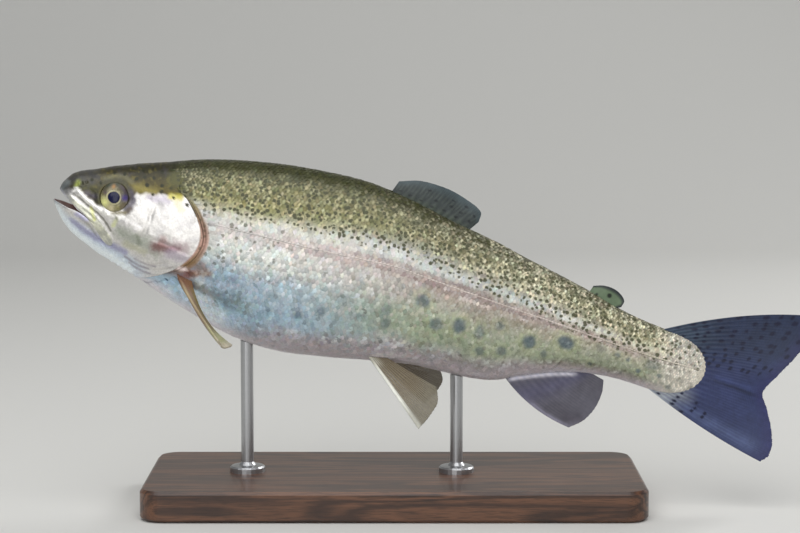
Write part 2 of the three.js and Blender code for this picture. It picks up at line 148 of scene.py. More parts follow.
def tube_faces(rings, columns):
    """Faces of a closed tube: its wrapped grid, then a fan at each end round one of the two points that
    follow the grid's own."""
    loop = np.arange(columns)
    after = (loop + 1) % columns
    end, last = rings * columns, (rings - 1) * columns
    return [
        grid_faces(rings, columns, wrap=True),
        np.stack([np.full(columns, end), after, loop], -1),
        np.stack([np.full(columns, end + 1), last + loop, last + after], -1),
    ]


# %% [markdown]
# ## Soft steps and bumps
# Organic shapes and markings are sums of a few soft functions: a curve through knots for outlines, a smooth
# step for edges, and a bell for ridges and grooves. Value noise adds the unevenness of living things.

# %% Curves and soft functions
LINE_STEPS = 400  # fine steps at which a smooth line is measured
NOISE_SIZE = 64  # the noise repeats after this many cells


def curve_through(xs, ys):
    """Cubic pieces through the knots (xs, ys); the slope at a knot is the slope between its neighbours."""
    xs, ys = np.array(xs, float), np.array(ys, float)
    before = np.maximum(np.arange(len(xs)) - 1, 0)
    after = np.minimum(np.arange(len(xs)) + 1, len(xs) - 1)
    slopes = (ys[after] - ys[before]) / (xs[after] - xs[before])

    def at(x):
        """Height of the curve at x; t runs from 0 to 1 between two knots."""
        i = np.clip(np.searchsorted(xs, x, side="right") - 1, 0, len(xs) - 2)
        step = xs[i + 1] - xs[i]
        t = np.clip((x - xs[i]) / step, 0, 1)
        return (
            (2 * t**3 - 3 * t**2 + 1) * ys[i]
            + (t**3 - 2 * t**2 + t) * step * slopes[i]
            + (3 * t**2 - 2 * t**3) * ys[i + 1]
            + (t**3 - t**2) * step * slopes[i + 1]
        )

    return at


def smooth_line(points, count):
    """A smooth line through points of any dimension, read at equal steps of its length."""
    points = np.array(points, float)
    along = np.r_[0, np.cumsum(np.linalg.norm(np.diff(points, axis=0), axis=1))]
    fine = np.linspace(0, along[-1], LINE_STEPS)
    line = np.stack([curve_through(along, column)(fine) for column in points.T], -1)
    length = np.r_[0, np.cumsum(np.linalg.norm(np.diff(line, axis=0), axis=1))]
    wanted = np.linspace(0, length[-1], count)
    return np.stack([np.interp(wanted, length, column) for column in line.T], -1)


def step(low, high, x):
    """0 below low, 1 above high, and 3t^2 - 2t^3 between; low may be the larger one."""
    t = np.clip((x - low) / (high - low), 0, 1)
    return t * t * (3 - 2 * t)


def bell(x, width):
    """A bell curve of height 1: e to the power -(x / width) squared."""
    return np.exp(-((x / width) ** 2))


def line_distance(s, h, line):
    """Distance of points (s, h) from a polyline, how far along it the nearest place is, and the side."""
    a, b = line[:-1], line[1:]
    shape = np.shape(s)
    p = np.stack([np.ravel(s), np.ravel(h)], -1)
    best, share, side = np.full(len(p), 1e9), np.zeros(len(p)), np.zeros(len(p))
    for k in range(len(a)):
        d = b[k] - a[k]
        t = np.clip(((p - a[k]) @ d) / (d @ d), 0, 1)
        off = p - a[k] - t[:, None] * d
        dist = np.hypot(*off.T)
        near = dist < best
        best = np.where(near, dist, best)
        share = np.where(near, (k + t) / len(a), share)
        side = np.where(near, np.sign(d[0] * off[:, 1] - d[1] * off[:, 0]), side)
    return best.reshape(shape), share.reshape(shape), side.reshape(shape)


def value_noise(x, y, seed):
    """Smooth noise from -1 to 1: random values on a grid of whole numbers, blended with the smooth step."""
    table = np.random.default_rng(seed).uniform(-1, 1, (NOISE_SIZE, NOISE_SIZE))
    i, j = np.floor(x).astype(int), np.floor(y).astype(int)
    u, v = x - i, y - j
    u, v = u * u * (3 - 2 * u), v * v * (3 - 2 * v)
    i, j, i_next, j_next = (n % NOISE_SIZE for n in (i, j, i + 1, j + 1))
    low = table[i, j] * (1 - u) + table[i_next, j] * u
    high = table[i, j_next] * (1 - u) + table[i_next, j_next] * u
    return low * (1 - v) + high * v


# %% [markdown]
# ## The body's form
# A trout is a spindle: blunt snout, deepest a third of the way back, and a slim tail stalk. Such a form
# could be sculpted or lofted by hand, but a table of stations is easier to check against a real fish: at
# each s it gives top, bottom, half width, the level of greatest width, and how square the two halves of the
# section are. The half width is about half the depth, as in the species.

# %% Body sections
BODY_START, BODY_END, TAIL_ROUND_FROM = -1.4, 265.0, 247.0
SNOUT_TOP, SNOUT_BELOW, SNOUT_WIDE = 8, 12, 9  # mm over which the snout's top, chin and sides round off
STATIONS = np.array([  # s, top, bottom, half width, level of greatest width, squareness above and below
    [0, 9.9, 9.4, 7.2, 0.4, 2.3, 2.0],
    [8, 11.6, 13.1, 9.4, -1.0, 2.4, 1.9],
    [19, 16.0, 18.2, 12.0, -1.6, 2.4, 1.85],
    [36, 22.3, 24.3, 15.4, -3.0, 2.25, 1.9],
    [56, 28.4, 31.3, 17.6, -4.0, 2.1, 2.0],
    [78, 32.7, 37.6, 19.3, -3.5, 2.0, 2.1],
    [97, 34.6, 39.2, 19.8, -3.0, 1.95, 2.2],
    [116, 35.0, 37.0, 19.2, -2.0, 1.95, 2.2],
    [135, 32.4, 33.6, 17.8, -1.5, 1.95, 2.2],
    [152, 28.7, 31.0, 16.0, -1.5, 1.95, 2.15],
    [172, 24.9, 30.4, 13.6, -2.0, 1.95, 2.0],
    [184, 22.0, 28.6, 12.0, -2.0, 1.95, 1.95],
    [194, 19.9, 24.0, 10.8, -2.0, 2.0, 2.0],
    [211, 16.0, 17.8, 8.8, -2.0, 2.0, 2.0],
    [228, 11.4, 15.4, 6.9, -2.4, 2.0, 2.0],
    [247, 8.8, 16.0, 5.0, -3.0, 2.0, 2.0],
    [BODY_END, 8.8, 16.0, 2.2, -3.0, 2.0, 2.0],
])
top_at, bottom_at, width_at, level_at, square_top_at, square_bottom_at = (
    curve_through(STATIONS[:, 0], STATIONS[:, k]) for k in range(1, 7)
)


def nose_round(s, start, reach):
    """A quarter ellipse: 0 at the start, 1 at start + reach."""
    t = np.clip((s - start) / reach, 0, 1)
    return np.sqrt(np.maximum(1 - (1 - t) ** 2, 0))


def tail_round(s):
    """A quarter ellipse the other way: 1 up to the stalk, 0 at its end."""
    t = np.clip((s - TAIL_ROUND_FROM) / (BODY_END - TAIL_ROUND_FROM), 0, 1)
    return np.sqrt(np.maximum(1 - t * t, 0))


def half_heights(s):
    """Heights of the section over and under its level, with the snout and the stalk's end rounded off."""
    upper = (top_at(s) - level_at(s)) * nose_round(s, 0, SNOUT_TOP) * tail_round(s)
    lower = (bottom_at(s) + level_at(s)) * nose_round(s, BODY_START, SNOUT_BELOW) * tail_round(s)
    return upper, lower


GILL_SWELL = 0.9  # mm the gill covers stand out over the shoulder
COVER_S, COVER_TURN = 50, 1.75  # the middle of the swelling


def body(s, turn, out=0.0, swell=GILL_SWELL):
    """Point of the body at s and angle turn, 0 on the back, pi under the belly, left side first.
    Each half of a section is a superellipse: |y/a|^p + |h/b|^p = 1. out moves it outwards."""
    c, n = np.cos(turn), np.sin(turn)
    power = 2 / np.where(c >= 0, square_top_at(s), square_bottom_at(s))
    upper, lower = half_heights(s)
    height = np.where(c >= 0, upper, lower) + out
    half = width_at(s) * nose_round(s, BODY_START, SNOUT_WIDE) * tail_round(s)
    around = np.minimum(turn, 2 * np.pi - turn)
    half = half + swell * bell(s - COVER_S, 11) * np.exp(-((around - COVER_TURN) ** 2) / 0.5) + out
    y = -np.sign(n) * half * np.abs(n) ** power
    h = level_at(s) + np.sign(c) * height * np.abs(c) ** power
    return np.stack([s + 0 * y, y, h], -1)


def turn_at(s, h):
    """The angle on the left side at which the section at s has height h."""
    upper, lower = half_heights(s)
    above = h >= level_at(s)
    full = np.maximum(np.where(above, upper, lower), 1e-6)
    share = np.clip(np.abs(h - level_at(s)) / full, 0, 1)
    c = share ** (np.where(above, square_top_at(s), square_bottom_at(s)) / 2)
    return np.arccos(np.where(above, c, -c))


def length_of(line):
    """True length of a line of points."""
    return np.linalg.norm(np.diff(line, axis=0), axis=1).sum()


DEEPEST = 97.0  # s of the deepest section
girth = length_of(body(np.full(200, DEEPEST), np.linspace(0, 2 * np.pi, 200)))
print(f"girth at the deepest station: {girth:.0f} mm")

# %% [markdown]
# ## Lines on the head
# A fish's face is drawn by a few lines: the two lips meeting at the corner of the mouth, the free edge of
# the gill cover, the groove between cheek and cover, and the lateral line that runs on to the tail. Each is
# a smooth line through a few points in side view, (s, h), and everything else is measured from them.

# %% Face lines and the lateral line
COAT_DEPTH = 0.35  # mm from the skin to the outside of the scales
MOUTH_CORNER = (18.2, -7.1)
UPPER_LIP = smooth_line(
    [(0.22, 2.6), (1.6, 1.5), (4.4, -0.1), (7.4, -2.0), (9.8, -3.4), (13.8, -5.2), MOUTH_CORNER], 400
)
LOWER_LIP = smooth_line(
    [(-1.08, -2.2), (0.4, -2.5), (2.6, -2.9), (5.4, -3.5), (9.8, -4.0), (13.8, -5.5), MOUTH_CORNER], 400
)
GILL_EDGE = smooth_line(
    [(45.5, 15.0), (50.6, 12.1), (57.0, 4.8), (59.9, -2.7), (57.2, -11.2), (47.8, -20.0), (37.0, -25.4)], 200
)
CHEEK_GROOVE = smooth_line(
    [(39.0, 13.6), (38.0, 6.0), (37.2, -3.0), (34.8, -11.0), (29.4, -15.6), (22.5, -15.8)], 60
)
LATERAL = np.array([
    (50, 6), (60, 5.2), (84, 5.6), (108, 6), (134, 6.9), (145, 6), (177, 3), (201, 1), (237, -2), (268, -3)
])
lateral_at = curve_through(LATERAL[:, 0], LATERAL[:, 1])
EYE = {"s": 21.9, "h": 5.3, "radius": 5.5}
print(f"lip length along one side: {length_of(UPPER_LIP):.1f} mm")

# %% [markdown]
# ## The pose
# The fish is bent by sliding it along a shallow parabola, so that its left side is a little hollow and its
# tail swings towards -Y. Then it is tilted nose-up and lifted over the stand. Doing this once, to finished
# points, keeps every other step simple, and skin, scales and fins can't part.

# %% Bend, tilt and lift
PITCH = np.radians(14.7)
SWIM_BEND, BEND_MIDDLE, BEND_REACH = 9.0, 115.0, 150.0
SNOUT_AT = np.array([-132.0, 0.0, 123.5])


def pose(points):
    """Straight fish (s, y, h) in mm to the model's frame in metres. The midline is y = -bend * t^2 with
    t = (s - middle) / reach; y is measured square to it; then a turn about Y and a shift."""
    s, y, h = np.moveaxis(np.asarray(points, float), -1, 0)
    t = (s - BEND_MIDDLE) / BEND_REACH
    slope = -2 * SWIM_BEND * t / BEND_REACH
    long = np.hypot(1, slope)
    x, y = s - y * slope / long, y / long - SWIM_BEND * t * t
    cos, sin = np.cos(PITCH), np.sin(PITCH)
    return (np.stack([x * cos + h * sin, y, h * cos - x * sin], -1) + SNOUT_AT) * MM


print("the stalk's end comes to", pose([BODY_END, 0, level_at(BODY_END)]).round(3), "m")


# %% [markdown]
# ## Skin as one grid
# The skin could be a subdivided cage, but here one grid of rings is stretched from the throat, out over the
# lips and back to the tail. The first rings line the mouth. The lip ring follows both lips, so the gape is
# a real opening. The rings then spread to the gill cover's edge, fold under it as a true flap with a slit,
# come out on the shoulder, and run on to the stalk. Only the left half is worked out; the right is its
# mirror.

# %% Lip, cheek and cover rings
HALF = 150  # steps from back to belly on one side
CORNER_STEP = 88  # the step at the corner of the mouth
FACE_END = 22.0  # s of the first ring that is a plain section
NAPE_S = 44.0  # s at which the line of the cover's edge meets the back
SHOULDER_END = 82.0
FACE_RINGS, COVER_RINGS, SHOULDER_RINGS, TRUNK_RINGS = 56, 100, 24, 84
EDGE_MARGIN = 1.1  # mm from the last ring of the cover to its edge
WARP_REACH = 9.0  # mm round the eye's middle within which grid points are drawn to its rim


def on_body(line):
    """Turns a line of (s, h) on the left side into (s, turn)."""
    return np.stack([line[:, 0], turn_at(line[:, 0], line[:, 1])], -1)


def spread(line, count):
    """Reads a line of (s, turn) at equal steps of its true length on the body."""
    length = np.r_[0, np.cumsum(np.linalg.norm(np.diff(body(*line.T), axis=0), axis=1))]
    wanted = np.linspace(0, length[-1], count)
    return np.stack([np.interp(wanted, length, column) for column in line.T], -1)


upper_lip, lower_lip = on_body(UPPER_LIP), on_body(LOWER_LIP)
upper_lip[0, 1], lower_lip[0, 1] = 0.0, np.pi
lip = np.r_[spread(upper_lip, CORNER_STEP + 1), spread(lower_lip[::-1], HALF - CORNER_STEP + 1)[1:]]
corner_turn = lip[CORNER_STEP, 1]
section_turns = np.r_[
    np.linspace(0, corner_turn, CORNER_STEP + 1), np.linspace(corner_turn, np.pi, HALF - CORNER_STEP + 1)[1:],
]
edge_line = on_body(GILL_EDGE)
gill_s = np.interp(section_turns, np.r_[0, edge_line[:, 1]], np.r_[NAPE_S, edge_line[:, 0]])
# 1 where the cover's edge is a free flap, from under the nape down; it thins out on the throat.
flap = step(0.72, 1.0, section_turns) * (1 - 0.75 * step(2.75, 3.1, section_turns))


def warp_to_eye(s, turn):
    """Draws grid points near the eye's rim onto it: r becomes R + (r - R)(1 - 0.8 bell(r - R))."""
    h = body(s, turn)[..., 2]
    r = np.hypot(s - EYE["s"], h - EYE["h"])
    new = EYE["radius"] + (r - EYE["radius"]) * (1 - 0.8 * bell(r - EYE["radius"], 1.0))
    share = np.where(r < WARP_REACH, new / np.maximum(r, 1e-6), 1.0)
    s2 = EYE["s"] + (s - EYE["s"]) * share
    h2 = EYE["h"] + (h - EYE["h"]) * share
    return s2, np.where(r < WARP_REACH, turn_at(s2, h2), turn)


w = np.linspace(0, 1, FACE_RINGS + 1)[:, None]
face = lip[:, 0] + (FACE_END - lip[:, 0]) * w, lip[:, 1] + (section_turns - lip[:, 1]) * w
w = np.linspace(0, 1, COVER_RINGS + 1)[1:, None]
cover = FACE_END + (gill_s - EDGE_MARGIN * flap - FACE_END) * w, section_turns + 0 * w
front_s, front_turn = warp_to_eye(np.r_[face[0], cover[0]], np.r_[face[1], cover[1]])
front = body(front_s, front_turn)
print("front of the skin:", front.shape[0], "rings of", HALF + 1)

# %% [markdown]
# ## Relief of the face
# A trout's head has no scales, so its bones show: a raised rim round the eye, two nostrils, rolled lips, a
# groove between cheek and gill cover, folds of skin under the throat. Sculpting would do, but here each is
# a bell-shaped ridge or groove along a line, added up and pushed along the surface's own normal.

# %% Ridges and grooves
SOCKET_DEPTH = 1.7
NOSTRILS = [(8.3, 7.0), (10.0, 7.9)]
UPPER_JAW = smooth_line(
    [(3.4, 1.9), (8.0, -0.9), (13.4, -3.4), (18.2, -7.0), (22.2, -10.6), (25.6, -14.0), (29, -18)], 80
)
EYE_SHELF = [(6.8, 4.4), (10.8, 1.9), (14.4, 0.3), (17.6, -0.9), (22.2, -2.0), (27.0, -1.2)]
JAW_SEAM = [(6.4, 2.4), (9.9, 0.7), (13.2, -0.9), (17.1, -2.6), (20.6, -4.8), (23.6, -7.8)]
FOLDS = [  # a line of (s, h), its height in mm (a groove is negative) and its half width in mm
    ([*JAW_SEAM, (26.2, -11.6)], -0.34, 0.6),
    (EYE_SHELF, 0.28, 0.8),
    ([(10.0, -7.4), (15.0, -9.4), (19.0, -12.2), (24.0, -15.6)], -0.3, 0.5),
    ([(2.0, -6.6), (9.6, -10.2), (16.0, -12.4), (23.6, -13.9), (31.0, -15.4)], -0.5, 0.9),
    ([(38.6, -6.4), (46.0, -7.0), (53.0, -8.2), (58.0, -9.6)], -0.18, 0.6),
    ([(28.0, 5.5), (37.0, 8.5)], -0.12, 0.5),
    ([(27.2, -0.6), (36.4, -3.4)], -0.12, 0.5),
    ([(24.4, -4.4), (30.5, -10.5)], -0.12, 0.5),
    ([(29.0, 12.6), (38.0, 13.4), (45.0, 15.4)], -0.15, 0.6),
    ([(36.5, -19.5), (43.0, -16.8), (49.5, -13.2)], -0.2, 0.5),
]


def upper_jaw_plate(s, h):
    """1 on the long plate of the upper jaw and 0 off it, its share along, and how far the place lies across.
    The plate widens backwards to a round end."""
    d, share, side = line_distance(s, h, UPPER_JAW)
    half = 0.8 + 1.5 * share
    half = half * np.sqrt(np.clip(1 - (np.maximum(share - 0.72, 0) / 0.1) ** 2, 0, 1))
    return step(half + 0.35, half - 0.35, d) * (share < 0.82), share, d * side


def relief(s, h):
    """Height of the face's relief in mm at (s, h): the sum of its ridges and grooves."""
    r = np.hypot(s - EYE["s"], h - EYE["h"])
    rim = (0.16 + 0.12 * value_noise(s / 3.0, h / 3.0, 6)) * bell(r - EYE["radius"] - 0.8, 0.9)
    raised = rim - SOCKET_DEPTH * step(EYE["radius"] + 0.1, EYE["radius"] - 0.5, r)
    for at_s, at_h in NOSTRILS:
        d = np.hypot(s - at_s, h - at_h)
        raised += 0.2 * bell(d - 0.85, 0.35) - 0.6 * bell(d, 0.5)
    lip_side = step(19.5, 16.0, s)
    raised += 0.3 * bell(line_distance(s, h, LOWER_LIP[::10])[0] - 0.8, 0.7) * lip_side
    plate, share, _ = upper_jaw_plate(s, h)
    raised += plate * (0.4 + 0.04 * value_noise(s / 2.6, h / 2.2, 5)) * step(0, 0.12, share)
    d, share, _ = line_distance(s, h, CHEEK_GROOVE)
    ends = step(0, 0.25, share) * step(1, 0.75, share)
    raised -= 0.2 * ends * bell(d, 0.8)
    for line, height, width in FOLDS:
        d, share, _ = line_distance(s, h, smooth_line(line, 24))
        raised += height * bell(d, width) * step(0, 0.1, share) * step(1, 0.85, share)
    raised += 0.6 * bell(np.hypot(s - 31, (h + 5.0) * 0.8), 5.5)
    d = line_distance(s, h, GILL_EDGE[::8])[0]
    throat = step(-14.5, -17.5, h - 0.12 * (s - 40)) * step(24, 29, s)
    raised += 0.2 * throat * np.sin(2 * np.pi * (d + 0.25 * s) / 2.1)
    raised += 0.09 * value_noise(s / 3.1, h / 2.3, 3) + 0.06 * value_noise(s / 1.1, h / 1.0, 4)
    return raised


def normals(grid):
    """Outward unit normals of the left half's grid: the cross product of its two directions."""
    n = np.cross(np.gradient(grid, axis=1), np.gradient(grid, axis=0))
    n[:, [0, -1], 1] = 0
    return n / np.maximum(np.linalg.norm(n, axis=-1, keepdims=True), 1e-9)


to_edge = (gill_s[None, :] - front_s) / 2.2
front_relief = relief(front_s, front[..., 2]) * np.where(flap > 0.01, step(0, 1, to_edge), 1)
front_relief -= COAT_DEPTH * (1 - flap) * step(18, 8, gill_s[None, :] - front_s)
front_out = front + normals(front) * front_relief[..., None]
front_out[:, [0, -1], 1] = 0

# %% The gill flap
# Its profile: how far each ring lies behind the edge (mm), and its share of the way down from the
# cover's face to the shoulder under it. It rolls over the edge, runs forward beneath, and comes back out.
FLAP_BACK = np.array([-0.9, -0.4, -0.12, 0.0, -0.08, -0.4, -1.5, -1.8, -1.5, -0.6, 0.1, 0.8])
FLAP_DOWN = np.array([0.0, -0.04, 0.02, 0.22, 0.46, 0.56, 0.62, 0.8, 0.97, 1.0, 1.0, 1.0])
FLAP_TUCK = 0.35  # mm the shoulder lies deeper under the flap
edge_depth = -COAT_DEPTH * (1 - flap)
edge_out = body(gill_s, section_turns, out=edge_depth)
edge_in = body(gill_s, section_turns, out=-COAT_DEPTH - FLAP_TUCK * flap, swell=0)
along_edge = np.gradient(edge_out, axis=0)
edge_normal = np.cross(along_edge, body(gill_s + 0.01, section_turns, out=edge_depth) - edge_out)
behind = np.cross(edge_normal, along_edge)
behind *= np.sign(behind[:, :1] + 1e-9)
behind /= np.linalg.norm(behind, axis=-1, keepdims=True)
even = np.linspace(0.08, 1, len(FLAP_BACK))[:, None]
back = FLAP_BACK[:, None] * flap + 0.8 * even * (1 - flap)
down = FLAP_DOWN[:, None] * flap + even * (1 - flap)
flap_rings = edge_out * (1 - down[..., None]) + edge_in * down[..., None] + behind * back[..., None]
flap_rings[:, [0, -1], 1] = 0
print(f"gill flap stands {np.linalg.norm(edge_out - edge_in, axis=-1).max():.2f} mm over the shoulder")

# %% [markdown]
# ## Mouth lining, shoulder and trunk
# Behind the flap the rings are plain sections, a coat's depth inside the true outline, because the scales
# bring it back out. In front, six rings run from the lips back into the throat, over the palate and the
# floor of the mouth, and close at a point, so the whole skin is one closed surface.

# %% Shoulder, trunk and mouth lining
FACE, FLAP, TRUNK, LINING = 0.0, 0.5, 1.0, 2.0  # the skin's regions, kept with each point
THROAT_S, THROAT_H, THROAT_END_S = 15.5, -4.6, 16.5  # middle of the innermost ring, and the end behind it
PALATE_RISE = 1.5
w = np.linspace(0, 1, SHOULDER_RINGS + 1)[1:, None]
shoulder_s = gill_s + (SHOULDER_END - gill_s) * w
shoulder_dip = -COAT_DEPTH - FLAP_TUCK * flap * step(0.35, 0.0, w)
shoulder = body(shoulder_s, section_turns + 0 * w, out=shoulder_dip, swell=0)
w = np.linspace(0, 1, TRUNK_RINGS + 1)[1:-1, None]
trunk_s = SHOULDER_END + (BODY_END - SHOULDER_END) * (1 - (1 - w) ** 1.6) + 0 * section_turns
trunk_dip = -COAT_DEPTH * step(BODY_END, BODY_END - 8, trunk_s)
trunk = body(trunk_s, section_turns + 0 * w, out=trunk_dip, swell=0)

POCKET_STEPS = np.array([1.0, 0.82, 0.55, 0.3, 0.13, 0.04])[:, None, None]
throat_loop = np.stack([
    THROAT_S + 0 * section_turns, -4.0 * np.sin(section_turns), THROAT_H + 1.1 * np.cos(section_turns)
], -1)
is_upper = np.where(np.arange(HALF + 1) < CORNER_STEP, 1.0, -1.0)
vault = is_upper * step(14, 2, front_out[0, :, 0]) * PALATE_RISE
pocket = front_out[0] * (1 - POCKET_STEPS) + throat_loop * POCKET_STEPS
pocket[..., 2] += np.sin(np.pi * POCKET_STEPS[..., 0]) * vault

# %% The whole skin
left = np.concatenate([pocket, front_out, flap_rings, shoulder, trunk])
map_s = np.concatenate([
    pocket[..., 0], front_s, np.broadcast_to(gill_s, (len(flap_rings), HALF + 1)), shoulder_s, trunk_s
])
ring_counts = [len(pocket), len(front), len(flap_rings), len(shoulder) + len(trunk)]
region = np.repeat([LINING, FACE, FLAP, TRUNK], ring_counts)[:, None] + 0 * map_s


def both_sides(half, mirror=False):
    """Left half, then its mirror without the two shared columns, as one ring of 2 * HALF columns."""
    right = half[:, -2:0:-1]
    if mirror:
        right = right * MIRROR
    return np.concatenate([half, right], axis=1)


skin_points = both_sides(left, mirror=True).reshape(-1, 3)
skin_s = both_sides(map_s).ravel()
skin_points = np.r_[skin_points, [[THROAT_END_S, 0, THROAT_H]], [[BODY_END, 0, level_at(BODY_END)]]]
skin_s = np.r_[skin_s, THROAT_END_S, BODY_END]
skin_region = np.r_[both_sides(region).ravel(), LINING, TRUNK]
skin_faces = tube_faces(len(left), 2 * HALF)
print("skin:", len(left), "rings of", 2 * HALF, "points")

# %% [markdown]
# ## Markings
# Skin, scales and fins must carry the same markings, or the coat would look painted on. One function gives
# the ground colour anywhere on the fish from s and from how far the place lies between lateral line and
# outline. It is kept on the points of each mesh. The small black speckles are cut by the shader from a
# Voronoi pattern in the object's own space, so that they fall on the same spot of skin and scale.

# %% Ground colours of the coat
OLIVE_TOP, OLIVE_LOW = linear("#55572c"), linear("#7d7c42")
SILVER, LILAC_BAND, WARM_SILVER = linear("#bdbcb8"), linear("#99867f"), linear("#b6b09c")
GREEN_SILVER, BLUE_SILVER, BELLY_MAUVE = linear("#a4b296"), linear("#b0cadb"), linear("#dfdadf")
HEAD_OLIVE, HEAD_DARK = linear("#4f4620"), linear("#292816")
CHEEK_SILVER, JAW_PALE = linear("#dcd9d5"), linear("#ccd7e4")
PARR_BLUE, SPOT_OLIVE, MOUTH_PINK = linear("#566674"), linear("#25260f"), linear("#8e5f58")


def mix(a, b, t):
    """Blend of two colours, t from 0 to 1; either may be one colour or one per point."""
    return a + (b - a) * np.asarray(t)[..., None]


def height_share(s, h):
    """1 on the back's outline, 0 on the lateral line and -1 on the belly's outline."""
    side = lateral_at(np.clip(s, 50, 268)) - 3 * step(50, 20, s)
    up = (h - side) / np.maximum(top_at(s) - side, 4)
    down = (h - side) / np.maximum(side + bottom_at(s), 4)
    return np.clip(np.where(h >= side, up, down), -1, 1)


# %% Strokes and blotches
def near(s, h, points):
    """Distance of (s, h) from a smooth line through a few points."""
    return line_distance(s, h, smooth_line(points, 20))[0]


def marked(colour, s, h, marks):
    """Lays soft ragged strokes (points, half width, paint, strength) over a colour."""
    fine = value_noise(s / 0.8, h / 0.7, 25)
    for points, width, paint, strength in marks:
        ragged = width * (0.3 * value_noise(s / 1.3 + 9 * width, h / 1.1, 23) + 0.25 * fine)
        share = step(2.0 * width, 0.2 * width, near(s, h, points) + ragged)
        colour = mix(colour, linear(paint), strength * share)
    return colour


PARR_SPOTS = [  # s, h, half length, half height in mm, strength
    (74.3, -14.0, 3.6, 2.0, 0.45), (79.0, -15.4, 2.2, 1.6, 0.4), (91.0, -23.0, 1.8, 1.6, 0.5),
    (90.5, -16.3, 2.6, 2.2, 0.25), (103.3, -20.9, 2.0, 1.7, 0.75), (111.5, -17.5, 1.9, 2.3, 0.75),
    (117.9, -10.5, 3.0, 2.6, 0.45), (127.3, -15.5, 2.6, 2.0, 0.5), (136.1, -10.4, 2.0, 3.0, 0.5),
    (137.0, -15.4, 2.2, 2.8, 0.6), (149.3, -3.4, 3.0, 2.8, 0.85), (156.6, -11.0, 3.0, 3.0, 0.8),
    (165.6, -9.5, 2.8, 3.5, 1.0), (174.2, -10.1, 2.1, 3.2, 0.75), (176.2, -17.3, 2.2, 2.2, 0.65),
    (181.1, -5.6, 2.2, 2.2, 0.65), (184.4, -15.2, 2.6, 2.2, 0.75), (194.0, -8.9, 2.8, 3.1, 1.0),
    (200.8, -12.2, 1.6, 1.8, 0.7), (208.1, -5.6, 3.8, 3.0, 1.0), (222.0, -4.4, 2.6, 1.8, 0.35),
    (229.0, -5.3, 1.3, 1.2, 0.7), (233.4, -6.1, 1.1, 1.1, 0.85), (238.4, -9.4, 1.1, 1.2, 0.9),
    (243.4, -5.2, 3.6, 2.6, 0.6), (246.8, -9.2, 1.2, 1.2, 0.8), (251.4, -12.6, 1.2, 1.2, 0.8),
    (219.5, -11.6, 1.0, 1.0, 0.7), (98.0, 0.5, 3.2, 2.4, 0.15), (124.0, -3.0, 3.0, 2.4, 0.2),
]
# Strokes are (line of (s, h), half width in mm, paint, strength), laid in the order of their list.
ROOT_HIGHLIGHT = ([(53.4, -15.2), (55.4, -14.9)], 0.75, "#fbe9e6", 1.0)  # painted highlight over the pectoral fin's root
ROOT_FLESH_AND_HIGHLIGHT = [  # round the root of the pectoral fin, behind the gill cover, with its painted highlight
    ([(54.0, -13.0), (59.0, -12.4), (63.4, -13.4)], 2.0, "#937668", 0.8),
    ([(56.0, -15.9), (60.0, -15.6)], 1.3, "#8f5d48", 0.85),
    ROOT_HIGHLIGHT,
    ([(55.0, -17.8), (58.6, -16.6)], 1.5, "#8a503e", 0.8),
    ([(60.0, -15.4), (66.0, -14.0)], 0.8, "#9a7a5e", 0.6),
]
PAINTED_GLEAM = [(60.5, -18.5), (65.5, -24.5), (71.5, -30)]  # painted highlight below the pectoral root, over the fin's shadow
band_edge_at = curve_through([50, 95, 130, 165, 200, 240, 268], [0.24, 0.28, 0.37, 0.44, 0.47, 0.38, 0.3])


def parr_share(s, h, grow=1.0):
    """1 on the soft blotches of the flank, grown by a factor, 0 off them."""
    uneven_edge = 0.12 * value_noise(s / 2.1, h / 1.7, 13)
    share = np.zeros(np.shape(s))
    for at_s, at_h, half_s, half_h, strength in PARR_SPOTS:
        d = np.hypot((s - at_s) / half_s, (h - at_h) / half_h) / grow + uneven_edge
        share = np.maximum(share, strength * step(1.25, 0.55, d))
    return share


